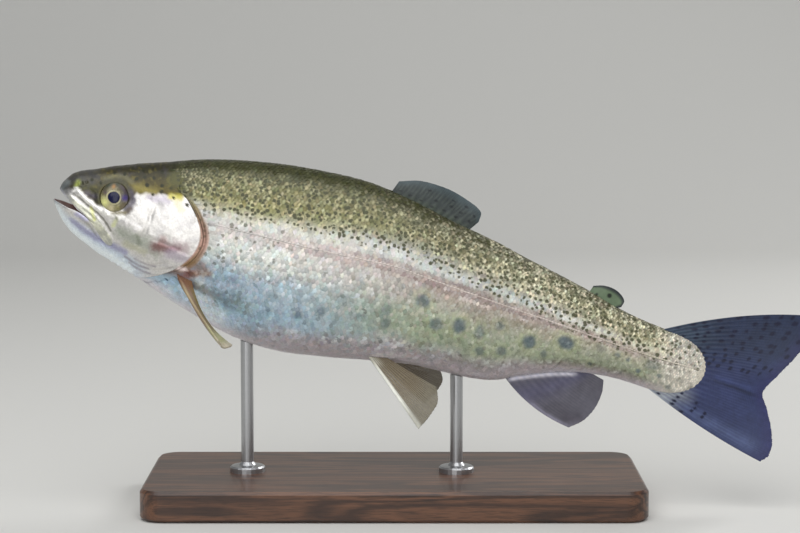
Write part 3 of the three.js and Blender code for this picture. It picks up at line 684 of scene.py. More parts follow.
# %% Colour of the trunk
def trunk_colour(s, h):
    """Ground colour behind the gill covers, laid from top to bottom: olive back, silver side, lilac band,
    green-blue flank, mauve belly, then the blotches and the flesh round the pectoral root; painted
    highlights lie on the root, below it and on the stalk's end."""
    wave = 0.05 * value_noise(s / 9, h / 5, 11) + 0.03 * value_noise(s / 3, h / 2, 12)
    v = height_share(s, h) + wave
    aft = step(120, 235, s)
    colour = mix(OLIVE_LOW, OLIVE_TOP, step(0.55, 1.0, v))
    colour = mix(colour, HEAD_DARK, 0.5 * step(62, 44, s))
    colour = colour * (1 - 0.25 * step(0.3, 0.85, v) - 0.15 * step(0.8, 0.97, v))[..., None]
    edge = band_edge_at(np.clip(s, 50, 268))
    colour = mix(mix(SILVER, WARM_SILVER, aft), colour, step(edge - 0.16, edge + 0.2, v))
    gleam = bell(v - edge * 0.5, 0.1) * step(105, 150, s) * step(246, 205, s)
    colour = mix(colour, linear("#d6dadb"), 0.8 * gleam)
    colour = mix(colour, LILAC_BAND, bell(v + 0.04, 0.12) * (0.3 + 0.6 * bell(s - 170, 45)))
    flank = mix(GREEN_SILVER, BLUE_SILVER, step(140, 80, s + 25 * v))
    flank = mix(flank, linear("#b2d0e8"), 0.7 * bell(s - 72, 14))
    colour = mix(colour, flank, step(-0.14, -0.5, v) * (0.95 - 0.2 * aft))
    colour = mix(colour, linear("#cbd3cc"), 0.6 * bell(v + 0.2, 0.14) * step(125, 90, s))
    colour = mix(colour, linear("#8a826a"), 0.6 * bell(v + 0.2, 0.11) * bell(s - 182, 40))
    low = 0.14 * step(112, 80, s)
    colour = mix(colour, BELLY_MAUVE, step(-0.6 - low, -0.88 - low, v))
    # painted highlight below the pectoral root, which also lightens the fin's cast shadow
    light = step(5.5, 2.0, near(s, h, PAINTED_GLEAM)) * step(58, 62, s)
    colour = mix(colour, linear("#dfe8ec"), 0.7 * light)
    colour = mix(colour, linear("#cbc3b6"), 0.6 * step(244, 254, s) * step(-0.75, -0.5, v))
    # painted highlight: the stalk's end is lightened towards cream to stand for its sparkle
    colour = mix(colour, linear("#e6dfd0"), 0.6 * step(238, 254, s) * step(1.3, 0.7, v))
    colour = mix(colour, linear("#b7c193"), 0.5 * parr_share(s, h, 1.8) * step(120, 165, s))
    colour = mix(colour, PARR_BLUE, 0.88 * parr_share(s, h))
    return marked(colour, s, h, ROOT_FLESH_AND_HIGHLIGHT)


# %% Strokes and spots of the face
JAW_RIM = [(1.0, -5.4), (5.0, -10.2), (11.0, -14.0), (17.0, -16.4), (24.0, -18.4), (34.0, -21.4)]
FACE_MARKS = [
    ([(8.4, 5.8), (13.4, 5.2), (16.4, 2.6)], 2.2, "#4a4a36", 0.85),
    ([(11.0, 3.9), (14.3, 3.3)], 1.1, "#5f5a68", 0.6),
    ([(15.4, 8.0), (18.0, 10.9), (22.8, 11.7), (27.6, 9.8)], 0.9, "#454532", 0.75),
    ([(16.3, 11.2), (19.9, 12.9), (23.6, 13.6), (27.2, 12.6)], 0.7, "#77755a", 0.5),
    ([(1.6, 3.8), (5.4, 8.4), (12.0, 11.4)], 2.7, "#454648", 0.7),
    ([(0.6, 2.6), (2.6, 5.4)], 1.1, "#9aa1a2", 0.75),
    ([(6.9, 7.2), (6.4, 5.6)], 0.8, "#96a04a", 0.75),
    ([(27.4, 8.8), (29.2, 5.6), (28.2, 2.4)], 1.35, "#47424f", 0.9),
    ([(23.5, -1.0), (27.5, 0.4), (29.2, 2.6)], 0.8, "#5b4f3e", 0.7),
    ([(22.6, -1.1), (27.4, 0.6)], 0.7, "#77704f", 0.75),
    ([(29.8, 11.2), (36.4, 11.0)], 1.5, "#978c4c", 0.5),
    ([(35.4, 8.8), (43.0, 9.6)], 1.2, "#a79fae", 0.7),
    ([(40.0, 7.6), (41.0, 6.4)], 0.9, "#8f8c8c", 0.5),
    ([(43.4, 11.2), (47.0, 11.6)], 1.05, "#bdb448", 0.8),
    ([(46.4, 9.2), (48.6, 7.4)], 1.2, "#dcc8a4", 0.6),
    ([(27.4, -7.2), (33.4, -8.4), (39.4, -8.8), (42.4, -10.8)], 2.1, "#9da495", 0.7),
    ([(34.4, -7.0), (35.8, -9.2)], 0.9, "#868c7c", 0.6),
    ([(30.9, -11.4), (38.4, -12.4)], 1.2, "#bdbd9f", 0.6),
    ([(42.6, -8.8), (47.4, -7.8), (53.4, -6.9)], 2.2, "#a98a92", 0.5),
    ([(44.3, -5.2), (44.1, -7.4)], 1.2, "#8a625c", 0.6),
    ([(42.4, -9.0), (46.6, -8.3)], 1.5, "#7d5652", 0.75),
    ([(49.0, -7.7), (51.4, -7.2)], 1.0, "#8f6672", 0.6),
    ([(48.0, -10.4), (54.5, -10.6)], 1.6, "#aa9cb4", 0.5),
    (EYE_SHELF, 0.8, "#f6f4ee", 0.95),
    (JAW_SEAM, 0.4, "#66645a", 0.8),
    ([(11.0, -6.0), (15.6, -8.4), (18.6, -11.2)], 0.45, "#8f8f86", 0.6),
    # painted shade: lilac in the channel and the groove of the lower jaw
    ([(9.4, -5.0), (13.6, -6.0)], 0.9, "#b9b8dc", 0.7),
    ([(7.7, -8.2), (16.1, -11.6), (23.6, -13.2), (31.0, -14.6)], 1.2, "#9f9dc0", 0.75),
    (JAW_RIM, 2.0, "#f2fbff", 1.0),
    ([(0.6, 2.3), (4.6, -0.4), (9.6, -3.3)], 0.55, "#dcdbe4", 0.8),
    ([(31.5, -16.4), (36.5, -18.2), (41.5, -18.6)], 0.4, "#8d8390", 0.65),
    ([(33.5, -18.4), (38.0, -20.1), (42.5, -20.4)], 0.4, "#8d8390", 0.65),
    ([(35.5, -16.1), (40.0, -17.0), (44.0, -16.9)], 0.35, "#9a9099", 0.5),
]
JAW_MARKS = [  # laid after the plate of the upper jaw
    ([(14.0, -0.8), (15.2, -2.8), (16.8, -5.2)], 0.5, "#c6c96a", 0.6),
    ([(24.8, -3.4), (24.2, -5.4)], 0.65, "#d3d79a", 0.7),
    ([(24.8, -2.2), (25.1, -2.6)], 0.45, "#6a6d48", 0.7),
]
HEAD_SPOTS = [  # s, h, radius in mm
    (35.0, 16.2, 0.55), (41.8, 17.8, 0.65), (46.6, 19.0, 0.65), (33.1, 12.9, 0.7), (38.9, 14.2, 0.65),
    (42.5, 14.3, 0.55), (39.3, 12.0, 0.65), (46.2, 14.4, 0.8), (44.4, 11.1, 0.5), (50.2, 9.8, 0.65),
    (15.4, 9.1, 0.5), (23.6, 14.8, 0.6), (28.5, 14.2, 0.65), (37.4, 19.0, 0.55), (11.8, 9.4, 0.5),
    (30.0, 17.8, 0.5), (19.6, 14.0, 0.5), (41.6, 21.2, 0.55), (33.5, 19.6, 0.5), (26.0, 17.2, 0.5),
    (48.0, 15.6, 0.7), (43.6, 21.0, 0.6), (31.4, 15.6, 0.5), (36.2, 10.2, 0.45),
]
OLIVE_LINE = np.array([  # s and h of the line between the olive head top and the silver cheek
    (0, 1.8), (6, 4.4), (8.5, 3.8), (11, 2.6), (14.5, 1.4), (17, 0.4), (21, 0.2), (27, 2.8), (30, 9.2),
    (43, 11.2), (53, 13.0), (60, 14.5),
])
RIM_TINTS = [  # along the soft edge of the gill cover: olive above, then mauve, flesh, ochre and brown
    (0.0, "#5f5a36"), (0.25, "#766d40"), (0.42, "#906e5c"), (0.55, "#b48a7a"), (0.68, "#93754c"),
    (0.85, "#7f5f52"), (1.0, "#9b8f8c"),
]
print(len(FACE_MARKS) + len(JAW_MARKS), "strokes and", len(HEAD_SPOTS), "spots on each side of the head")


# %% Colour of the head
def rim_breadth(share):
    """The soft edge is a narrow line above and full under the lateral line."""
    return 0.45 + 0.55 * step(0.24, 0.42, share)


def rim_colour(share):
    """Colour of the gill cover's soft edge at a share of its length, blended between the set tints."""
    stops = [at for at, _ in RIM_TINTS]
    tints = np.array([linear(paint) for _, paint in RIM_TINTS])
    return np.stack([np.interp(share, stops, column) for column in tints.T], -1)


def head_colour(s, h, shift):
    """Olive over the eye, silver on cheek and cover, a pale jaw, then the face's own strokes and spots.
    shift moves the spots a little, so that the two sides differ."""
    line = np.interp(s, *OLIVE_LINE.T)
    grain = value_noise(s / 2.6, h / 2.0, 21)
    fine = value_noise(s / 0.8, h / 0.7, 25)
    grey = step(0.1, 0.7, value_noise(s / 3.3, h / 2.6, 26) + 0.4 * fine)
    colour = mix(CHEEK_SILVER, linear("#c9c6c6"), 0.5 * grey)
    colour = mix(colour, HEAD_OLIVE, step(-0.9, 1.1, h - line + 0.8 * grain + 0.4 * fine))
    crown = step(7, 14.5, h - 0.12 * s + 1.5 * value_noise(s / 5, h / 4, 22) + fine)
    colour = mix(colour, HEAD_DARK, 0.9 * crown)
    clouds = value_noise(s / 1.5 + 7, h / 1.2, 27) + 0.5 * fine
    over = step(0.5, 3.0, h - line)
    colour = mix(colour, linear("#776c30"), 0.4 * step(0.2, 0.9, clouds) * over)
    colour = mix(colour, linear("#3f3b42"), 0.45 * step(-0.3, -0.9, clouds) * over)
    colour = mix(colour, JAW_PALE, step(-4, -9, h + 0.32 * s - 1.5) * step(46, 34, s))
    colour = marked(colour, s, h, FACE_MARKS)
    plate, share, across = upper_jaw_plate(s, h)
    streak = 0.5 + 0.5 * np.cos(2 * np.pi * (across + 0.2) / 1.5)
    pale = step(0.1, 0.9, 0.5 + 0.25 * streak + 0.45 * value_noise(s / 2.2, h / 1.6, 24) - 0.3 * share)
    bone = mix(linear("#b3b4a6"), linear("#dfdfc9"), pale)
    colour = marked(mix(colour, bone, 0.85 * plate * step(0.0, 0.15, share)), s, h, JAW_MARKS)
    r = np.hypot(s - EYE["s"], h - EYE["h"])
    lid = bell(r - EYE["radius"] - 0.4, 1.0) * step(-1.0, 2.5, h - EYE["h"])
    colour = mix(colour, linear("#484532"), 0.55 * lid)
    for at_s, at_h, radius in HEAD_SPOTS:
        d = np.hypot(s - at_s - shift, h - at_h + 0.4 * shift)
        colour = mix(colour, SPOT_OLIVE, step(radius + 0.32, radius - 0.08, d + 0.12 * fine))
    colour = colour * (1 + 0.10 * fine * step(-1, 1, h - line))[..., None]
    d, share, _ = line_distance(s, h, GILL_EDGE[::4])
    width = (1.9 - 0.8 * step(0.55, 0.75, share)) * rim_breadth(share)
    rim = step(width, width - 0.7, d) * step(0.06, 0.16, share) * step(1.0, 0.86, share)
    return mix(colour, rim_colour(share), 0.92 * rim)


# %% Speckles and silver
def speckle_share(s, h):
    """The chance that a cell holds a black speckle: high on the back, falling to none on the lower side."""
    v = height_share(s, h)
    aft = step(140, 240, s)
    back = 0.97 * step(0.1 - 0.38 * aft, 0.34 - 0.29 * aft, v)
    back = back * (1 - 0.45 * step(240, 252, s))
    side = 0.24 * step(-0.65, -0.3, v) * np.maximum(step(120, 60, s), 0.6 * step(195, 235, s))
    side = side + 0.05 * step(-0.6, -0.2, v) * step(56, 64, s)
    return np.maximum(back, side) * step(40, 47, s)


def silver_share(s, h):
    """How metallic the coat is: silver on the side, less on the back, none under the belly."""
    v = height_share(s, h)
    return (0.25 + 0.6 * step(0.6, 0.15, v) * step(-1.0, -0.7, v)) * (1 - 0.65 * step(236, 254, s))


# %% Colours on the skin's points
SPOT_SHIFT = 1.8  # mm the right side's head spots lie further back


def skin_paint(s, h, y, part):
    """Head colours in front, trunk colours behind; over the nape they blend, at the gill slit they meet.
    The membrane under the cover's edge carries on its soft colour."""
    colour = mix(head_colour(s, h, SPOT_SHIFT * (y > 0)), trunk_colour(s, h), part)
    around = turn_at(np.clip(s, BODY_START + 0.01, BODY_END - 0.01), h)
    past = s - np.interp(around, section_turns, gill_s)
    share = np.interp(around, np.r_[0, edge_line[:, 1]], np.r_[0, np.linspace(0, 1, len(edge_line))])
    membrane = step(-2, -0.5, past) * step(2.6, 1.6, past / rim_breadth(share + 0.12))
    membrane = membrane * step(0.95, 1.15, around) * step(2.35, 2.05, around)
    colour = mix(colour, rim_colour(share + 0.12), 0.9 * membrane * (part > 0.4))
    # the painted highlight over the pectoral fin's root, laid on the skin too
    return marked(colour, s, h, [ROOT_HIGHLIGHT])


def per_point(half):
    """A value per ring or per point of the left half, as one value per point of the whole skin."""
    return np.r_[both_sides(np.broadcast_to(half, left.shape[:2])).ravel(), 0, 0]


skin_h = skin_points[:, 2]
before_gill = per_point(gill_s) - skin_s
skin_part = np.maximum(skin_region >= FLAP, (1 - per_point(flap)) * step(7.5, 2.0, before_gill))
skin_part = skin_part * (skin_region < LINING)
skin_colour = skin_paint(skin_s, skin_h, skin_points[:, 1], skin_part)
skin_colour = mix(skin_colour, MOUTH_PINK, 1.0 * (skin_region == LINING))
skin_speckle = speckle_share(skin_s, skin_h)
print(f"speckled share of the skin: {(skin_speckle > 0.5).mean():.2f}")

# %% [markdown]
# ## Wet skin
# Trout skin is a thin clear layer over silver crystals and dark pigment. A painted texture could show that;
# here the ground colour comes from the points, speckles are cut from Voronoi cells about 1.8 mm apart, fine
# noise breaks the colour, and the shader is part metallic with a clear coat for the wet film.

# %% The skin material
CELLS_PER_METRE = 560  # of the Voronoi pattern, one possible speckle in each
CELL_SHIFT = 0.0009  # metres by which noise draws the speckles out of round


def speckled_coat(name, bump, roughness):
    """Principled shader: colour = ground x noise, darkened where a Voronoi cell's centre is near. A cell has
    a speckle when its random red is under the speckle share; its green sets the speckle's size."""
    material, tree, shader = new_material(name)
    place = node(tree, "ShaderNodeTexCoord").outputs["Object"]
    ground = stored(tree, "ground", "Color")
    silver, speckle, tone = (stored(tree, value) for value in ("silver", "speckle", "tone"))
    warped = node(tree, "ShaderNodeTexNoise", {"Vector": place}, Scale=900, Detail=2)
    shift = {0: warped.outputs["Color"]}
    shifted = node(tree, "ShaderNodeVectorMath", shift, operation="SCALE", Scale=CELL_SHIFT)
    moved = node(tree, "ShaderNodeVectorMath", {0: place, 1: shifted.outputs[0]}, operation="ADD")
    cells = node(
        tree, "ShaderNodeTexVoronoi", {"Vector": moved.outputs[0]}, Scale=CELLS_PER_METRE, Randomness=0.85
    )
    chance = node(tree, "ShaderNodeSeparateColor", {"Color": cells.outputs["Color"]})
    here = node(tree, "ShaderNodeMath", {0: chance.outputs[0], 1: speckle}, operation="LESS_THAN")
    wide = node(tree, "ShaderNodeMapRange", {"Value": chance.outputs[1]}, To_Min=0.32, To_Max=0.48)
    size = node(tree, "ShaderNodeMath", {0: wide.outputs[0], 1: here.outputs[0]}, operation="MULTIPLY")
    inner = {0: size.outputs[0], 1: cells.outputs["Distance"]}
    spot = node(tree, "ShaderNodeMath", inner, operation="SUBTRACT")
    depth = node(tree, "ShaderNodeMapRange", {"Value": speckle}, From_Max=0.6, To_Min=0.22, To_Max=0.9)
    edge = node(
        tree, "ShaderNodeMapRange", {"Value": spot.outputs[0], "To Max": depth.outputs[0]},
        From_Min=-0.06, From_Max=0.10,
    )
    fine = node(tree, "ShaderNodeTexNoise", {"Vector": place}, Scale=1400, Detail=3)
    shade = node(tree, "ShaderNodeMapRange", {"Value": fine.outputs["Fac"]}, To_Min=0.72, To_Max=1.28)
    level = node(tree, "ShaderNodeMath", {0: shade.outputs[0], 1: tone}, operation="MULTIPLY")
    toned = node(tree, "ShaderNodeVectorMath", {0: ground, "Scale": level.outputs[0]}, operation="SCALE")
    dark = node(tree, "ShaderNodeMix", {"Factor": edge.outputs[0], "A": toned.outputs[0]}, data_type="RGBA")
    dark.inputs[7].default_value = rgba("#3c3e18")
    tree.links.new(dark.outputs[2], shader.inputs["Base Color"])
    unspotted = {0: silver, 1: edge.outputs[0]}
    metal = node(tree, "ShaderNodeMath", unspotted, operation="SUBTRACT", use_clamp=True)
    tree.links.new(metal.outputs[0], shader.inputs["Metallic"])
    height = node(tree, "ShaderNodeBump", {"Height": fine.outputs["Fac"]}, Strength=bump, Distance=0.0002)
    tree.links.new(height.outputs[0], shader.inputs["Normal"])
    settle(shader, {"Roughness": roughness, "Specular IOR Level": 0.35})
    settle(shader, {"Coat Weight": 0.16, "Coat Roughness": 0.15})
    return material


skin_material = speckled_coat("trout skin, wet", bump=0.25, roughness=0.38)
skin_values = {
    "ground": skin_colour,
    "silver": silver_share(skin_s, skin_h),
    "speckle": skin_speckle * skin_part,
    "tone": np.ones(len(skin_s)),
}
skin = mesh_piece("trout_skin", pose(skin_points), skin_faces, skin_material, skin_values)
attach(skin, "root")
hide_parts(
    "head", "lower_jaw", "upper_jaw_left", "upper_jaw_right", "gill_cover_left", "gill_cover_right",
    "trunk", "tail_stalk",
)

# %% [markdown]
# ## Scales
# A trout has well over a hundred small round scales along the side, each rooted in the skin and lying over
# the next like tiles. Hair particles or instances would be quick, but solid meshes show their edges from
# every side. The rows run parallel to the lateral line, a set girth apart, and every second row is shifted
# half a scale. One scale is a thin closed wedge of 26 faces; all are placed at once as arrays.

# %% Rows of roots
PITCH_KNOTS = np.array([  # s and mm of girth per row of scales
    (40, 1.05), (60, 1.35), (95, 1.55), (150, 1.5), (200, 1.22), (235, 1.02), (264, 0.85)
])
across_pitch = curve_through(*PITCH_KNOTS.T)
ALONG_SHARE = 1.02  # spacing along a row over spacing across it
COAT_START, COAT_END = 36, 264.6
MOST_ROWS = 40  # rows tried on each side of the lateral line
SPARE = 0.1  # mm of girth left bare at the midlines of back and belly
fine_s = np.linspace(COAT_START, COAT_END, 920)
fine_turn = np.linspace(0, np.pi, 240)
sections = body(fine_s[:, None], fine_turn[None, :], out=-COAT_DEPTH, swell=0)
pieces = np.linalg.norm(np.diff(sections, axis=1), axis=-1)
arc = np.concatenate([np.zeros((len(fine_s), 1)), np.cumsum(pieces, axis=1)], axis=1)
lateral_turn = turn_at(fine_s, lateral_at(fine_s))
lateral_arc = np.array([np.interp(t, fine_turn, a) for t, a in zip(lateral_turn, arc)])
count_along = np.r_[0, np.cumsum(np.diff(fine_s) / (ALONG_SHARE * across_pitch(fine_s[1:])))]
print(f"room for {count_along[-1]:.0f} scales along the lateral line")


def turn_of(s, distance):
    """The turn that lies a distance of girth past the back's midline at s, read from the table of arcs."""
    i = np.clip(np.interp(s, fine_s, np.arange(len(fine_s))), 0, len(fine_s) - 1.001)
    low = i.astype(int)
    f = i - low

    def read(row):
        """The turn in one row of the table, between the two entries that hold the distance."""
        j = np.clip((arc[row] < distance[:, None]).sum(1), 1, arc.shape[1] - 1)
        a0, a1 = arc[row, j - 1], arc[row, j]
        share = np.clip((distance - a0) / (a1 - a0 + 1e-9), 0, 1)
        return fine_turn[j - 1] + (fine_turn[j] - fine_turn[j - 1]) * share

    return read(low) * (1 - f) + read(np.minimum(low + 1, len(fine_s) - 1)) * f


def row_roots():
    """(s, distance, row) of every root on one side: whole steps of the running count along the body, odd
    rows half a step on."""
    rows = np.arange(-MOST_ROWS, MOST_ROWS + 1)
    steps = np.arange(1, int(count_along[-1]))
    row, n = (g.ravel() for g in np.meshgrid(rows, steps, indexing="ij"))
    s = np.interp(n + 0.5 * (row % 2), count_along, fine_s)
    distance = np.interp(s, fine_s, lateral_arc) + row * across_pitch(s)
    total = np.interp(s, fine_s, arc[:, -1])
    keep = (distance > SPARE) & (distance < total - SPARE)
    return s[keep], distance[keep], row[keep]


root_s, root_arc, root_row = row_roots()
root_turn = turn_of(root_s, root_arc)
# Behind the gill slit a little skin stays bare, and on the nape the scales run unevenly forwards, both in mm.
bare = 0.5 + 1.7 * step(0.95, 1.2, root_turn) * step(3.1, 2.8, root_turn)
forward = (5.0 + 1.6 * value_noise(root_turn * 9 + 3, root_arc * 0 + 2.5, 34)) * step(0.78, 0.5, root_turn)
scaled = root_s > np.interp(root_turn, section_turns, gill_s) + bare - forward
root_s, root_arc, root_row, root_turn = (a[scaled] for a in (root_s, root_arc, root_row, root_turn))
print("scales on one side:", len(root_s), "in", len(np.unique(root_row)), "rows")

# %% [markdown]
# ## One scale, many places
# The template is a small grid: from a buried root row to a round free edge, its middle a little raised, and
# a copy of the edge just below. Each scale's own frame is the row's direction, the skin's normal and their
# cross product. Small random changes of tilt, size and tone, and a highlight painted on each scale's
# middle, make the side glitter as the real one does.

# %% Scale template
SCALE_COLUMNS = np.array([-1, -0.62, 0, 0.62, 1.0])
SCALE_ROWS = np.array([0.0, 0.55, 0.82, 1.0])
SCALE_EDGE = 0.09  # mm, thickness of the free edge


def scale_template():
    """Points (along, across, rise, crown) and faces. At column c, row t reaches t * (0.5 + 0.5 sqrt(1 - c^2))
    along; it rises as far as it reaches, and its middle is crowned by (1 - c^2)(0.3 + 0.7 t)."""
    c, t = SCALE_COLUMNS[None, :], SCALE_ROWS[:, None]
    reach = 0.5 + 0.5 * np.sqrt(1 - c**2)
    width = c * (0.8 + 0.2 * np.minimum(t / 0.5, 1))
    crown = (1 - c**2) * (0.3 + 0.7 * t)
    top = np.stack(np.broadcast_arrays(t * reach, width, t * reach, crown), -1).reshape(-1, 4)
    root, high, low = np.arange(4), 15 + np.arange(4), 20 + np.arange(4)
    edge = np.stack([high, high + 1, low + 1, low], -1)
    below = np.stack([low, low + 1, root + 1, root], -1)
    sides = np.array([[0, 5, 20], [5, 10, 20], [10, 15, 20], [4, 24, 9], [9, 24, 14], [14, 24, 19]])
    return np.r_[top, top[-5:]], np.concatenate([grid_faces(4, 5), edge, below]), sides


TEMPLATE, SCALE_QUADS, SCALE_SIDES = scale_template()
IS_UNDER = np.arange(len(TEMPLATE)) >= 20  # the lower copy of the free edge
print("one scale:", len(TEMPLATE), "points,", len(SCALE_QUADS) + len(SCALE_SIDES), "faces")


# %% Where each scale lies
LIE_STEP, LIE_END = 0.6, 264.4  # mm along its row over which a scale's direction is measured, and its last s


def scale_axes(s, distance, row, turn):
    """Each scale's root point, the direction of its row, the direction across it and the skin's normal."""
    point = body(s, turn, out=-COAT_DEPTH, swell=0)
    aft = body(s + 0.05, turn, out=-COAT_DEPTH, swell=0) - point
    down = body(s, turn + 0.001, out=-COAT_DEPTH, swell=0) - point
    normal = np.cross(down, aft)
    normal = normal / np.linalg.norm(normal, axis=-1, keepdims=True)
    s_on = np.minimum(s + LIE_STEP, LIE_END)
    distance_on = distance + (np.interp(s_on, fine_s, lateral_arc) - np.interp(s, fine_s, lateral_arc))
    distance_on += row * (across_pitch(s_on) - across_pitch(s))
    lie = body(s_on, turn_of(s_on, distance_on), out=-COAT_DEPTH, swell=0) - point
    lie -= normal * np.einsum("ij,ij->i", lie, normal)[:, None]
    lie /= np.linalg.norm(lie, axis=-1, keepdims=True)
    return point, lie, np.cross(normal, lie), normal


def bake_map(piece, u, v):
    """Writes one (u, v) per vertex into the piece's OFBake map."""
    uv = np.stack([u.ravel(), v.ravel()], -1)
    layer = piece.data.uv_layers.new(name="OFBake")
    corner = np.empty(len(piece.data.loops), np.int32)
    piece.data.loops.foreach_get("vertex_index", corner)
    layer.data.foreach_set("uv", uv[corner].astype(np.float32).ravel())


# %% Colours of the scales
def coat_colour(s, h, row):
    """The skin's ground colour, a little darker in the rows along the lateral line, with a painted highlight
    as pale dashes in the second row below it."""
    colour = trunk_colour(s, h)
    line = step(262, 250, s) * step(62, 100, s)
    colour = mix(colour, linear("#8d7a78"), 0.45 * (np.abs(row) == 1) * line)
    # painted highlight: pale dashes along the second row below the lateral line
    second = (row == 2) * step(0.0, 0.5, value_noise(s / 5, 0 * s, 36)) * bell(s - 172, 30)
    colour = mix(colour, linear("#ddd3c8"), 0.55 * second)
    return mix(colour, linear("#a08f8b"), 0.5 * (row == 0) * line)


def glinted(ground, s, h, centre, spark):
    """Paints a highlight on each scale's middle and shade on its edges: most on the back and the stalk."""
    v = height_share(s, h)
    aft = step(110, 200, s)
    back = step(0.15, 0.5, v)
    stalk = step(240, 256, s)
    strength = np.clip(np.maximum(back * (0.5 + 0.5 * aft), stalk) + 0.4 * step(-0.75, -0.5, v), 0, 1)
    strength *= 1 - 0.75 * parr_share(s, h)
    # colours of the painted highlight
    shine = mix(mix(linear("#bdb890"), linear("#5e5f42"), step(0.65, 0.95, v)), linear("#f7f0cf"), aft)
    shine = mix(shine, linear("#ece4de"), step(0.2, 0.0, v))
    shine = mix(shine, linear("#fff8ea"), stalk)
    flock = 0.55 + 0.65 * value_noise(s / 1.5, h / 1.3, 61) + 1.3 * stalk * value_noise(s / 2.0, h / 1.8, 62)
    glint = np.clip(0.15 + 0.25 * stalk + spark * (0.35 + flock) * (1 + 0.4 * stalk), 0, 1)
    # painted shade: the ground is darkened round the painted highlight, at the scale's edges
    dark = ground * (1 - (0.3 + 0.16 * back + 0.2 * stalk) * strength)[..., None]
    return mix(dark, shine, strength * centre * glint)


# %% Coats of scales
SCALE_LENGTH = 2.5  # in steps along the row, so that a scale covers the next one and a half
SCALE_WIDTH = 0.98  # half width over the spacing of the rows
SCALE_TILT = 0.3  # mm the free edge of a full-sized scale stands up
SCALE_CROWN, LINE_CROWN = 0.10, 0.09  # mm its middle stands up, and more in the lateral row
FULL_PITCH = 1.5
ROOT_DEPTH = 0.06  # mm its root lies under the skin
MAP_START, MAP_LENGTH, MAP_GIRTH = -5, 275, 400  # mm of s and girth that the OFBake map spans


def coat(name, side, part, material, seed):
    """All scales of one side between two values of s, as one closed mesh with its OFBake map.
    A point = root + row direction * along + cross direction * across + normal * (rise + crown)."""
    chosen = (root_s >= part[0]) & (root_s < part[1])
    s, distance, row, turn = root_s[chosen], root_arc[chosen], root_row[chosen], root_turn[chosen]
    random = np.random.default_rng(seed)
    count, size = len(s), len(TEMPLATE)
    point, lie, wide, normal = scale_axes(s, distance, row, turn)
    yaw = random.normal(0, 0.05, count)[:, None]
    lie, wide = lie * np.cos(yaw) + wide * np.sin(yaw), wide * np.cos(yaw) - lie * np.sin(yaw)
    behind_gill = s - np.interp(turn, section_turns, gill_s)
    pitch = across_pitch(s) * (0.8 + 0.2 * step(0, 9, behind_gill))
    length = SCALE_LENGTH * ALONG_SHARE * pitch * random.normal(1, 0.03, count)
    width = SCALE_WIDTH * pitch * random.normal(1, 0.03, count)
    sunk = step(4, -6, behind_gill) * step(0.95, 0.75, turn) + step(9, 2, behind_gill) * step(2.2, 2.6, turn)
    lift = SCALE_TILT * (pitch / FULL_PITCH) ** 0.5 * random.normal(1, 0.10, count) * (1 - 0.75 * sunk)
    lift *= 1 - 0.45 * step(2.5, 2.9, turn)
    crown = SCALE_CROWN * pitch / FULL_PITCH + LINE_CROWN * (row == 0)
    roll = random.normal(0, 0.045, count)
    along, across, rise, up = TEMPLATE.T
    x = along[None, :] * length[:, None]
    y = across[None, :] * width[:, None]
    z = -ROOT_DEPTH + rise[None, :] * lift[:, None] + up[None, :] * crown[:, None]
    z = z + y * roll[:, None] - IS_UNDER[None, :] * SCALE_EDGE
    points = point[:, None] + lie[:, None] * x[..., None]
    points = points + wide[:, None] * y[..., None] + normal[:, None] * z[..., None]
    if side > 0:
        points = points * MIRROR
    shift = (np.arange(count) * size)[:, None, None]
    faces = [(SCALE_QUADS[None] + shift).reshape(-1, 4), (SCALE_SIDES[None] + shift).reshape(-1, 3)]
    flat = points.reshape(-1, 3)
    at_s, at_h = flat[:, 0], flat[:, 2]
    tone = np.clip(random.normal(1, 0.11, count) ** (1 - 0.6 * step(2.4, 2.8, turn)), 0.7, 1.3)
    spark = np.repeat(random.random(count) ** 1.3, size)
    centre = np.tile((1 - 0.75 * np.abs(across) ** 1.5) * bell(along - 0.78, 0.24), count)
    tint = random.normal(0, 0.035, (count, 1)) * np.array([[1.0, -0.3, -1.0]])
    tint += random.normal(0, 0.02, (count, 1)) * np.array([[0.7, -1.0, 0.7]])
    calm = step(140, 180, s) * step(0.1, -0.25, height_share(s, point[:, 2]))
    calm = np.maximum(step(2.4, 2.8, turn), calm)
    tint = np.repeat(tint * (0.75 - 0.45 * calm)[:, None], size, axis=0)
    # the scales' colour holds a painted highlight on each middle and painted shade at the edges
    ground = glinted(coat_colour(at_s, at_h, np.repeat(row, size)), at_s, at_h, centre, spark)
    values = {
        "ground": np.clip(ground * (1 + tint), 0, 1),
        "silver": silver_share(at_s, at_h),
        "speckle": speckle_share(at_s, at_h),
        "tone": np.repeat(tone, size),
    }
    piece = mesh_piece(name, pose(flat), faces, material, values)
    u = (s[:, None] - MAP_START) / MAP_LENGTH + (along[None, :] - 0.5) * 0.003
    v = 0.5 + side * (0.002 + distance[:, None] / MAP_GIRTH) + across[None, :] * 0.0015
    bake_map(piece, u, v)
    piece.data.set_sharp_from_angle(angle=np.radians(50))
    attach(piece, "root")


scale_material = speckled_coat("trout scales, silvery", bump=0.12, roughness=0.34)
COAT_PARTS = (("front", (40, 133)), ("rear", (133, 265)))  # two coats a side keep each mesh small
for side_name, side in SIDES:
    for part_name, part in COAT_PARTS:
        coat(f"scales_{side_name}_{part_name}", side, part, scale_material, seed=31 + side + len(part_name))

# %% [markdown]
# ## The lateral line
# Along the side each scale of one row carries a tiny tube with a pore, the organ that feels moving water.
# It shows as a thin pale raised thread. One closed tube that swells once per scale gives it with few faces.

# %% Beaded thread
THREAD_START, THREAD_END = 58, 262
THREAD_RINGS, THREAD_SIDES = 1400, 10
THREAD_HALF, THREAD_BEAD, THREAD_FLAT = 0.24, 0.07, 0.55  # mm half width, mm of swelling, height over width
THREAD_OUT = 0.02  # mm the thread's middle lies outside the body's outline


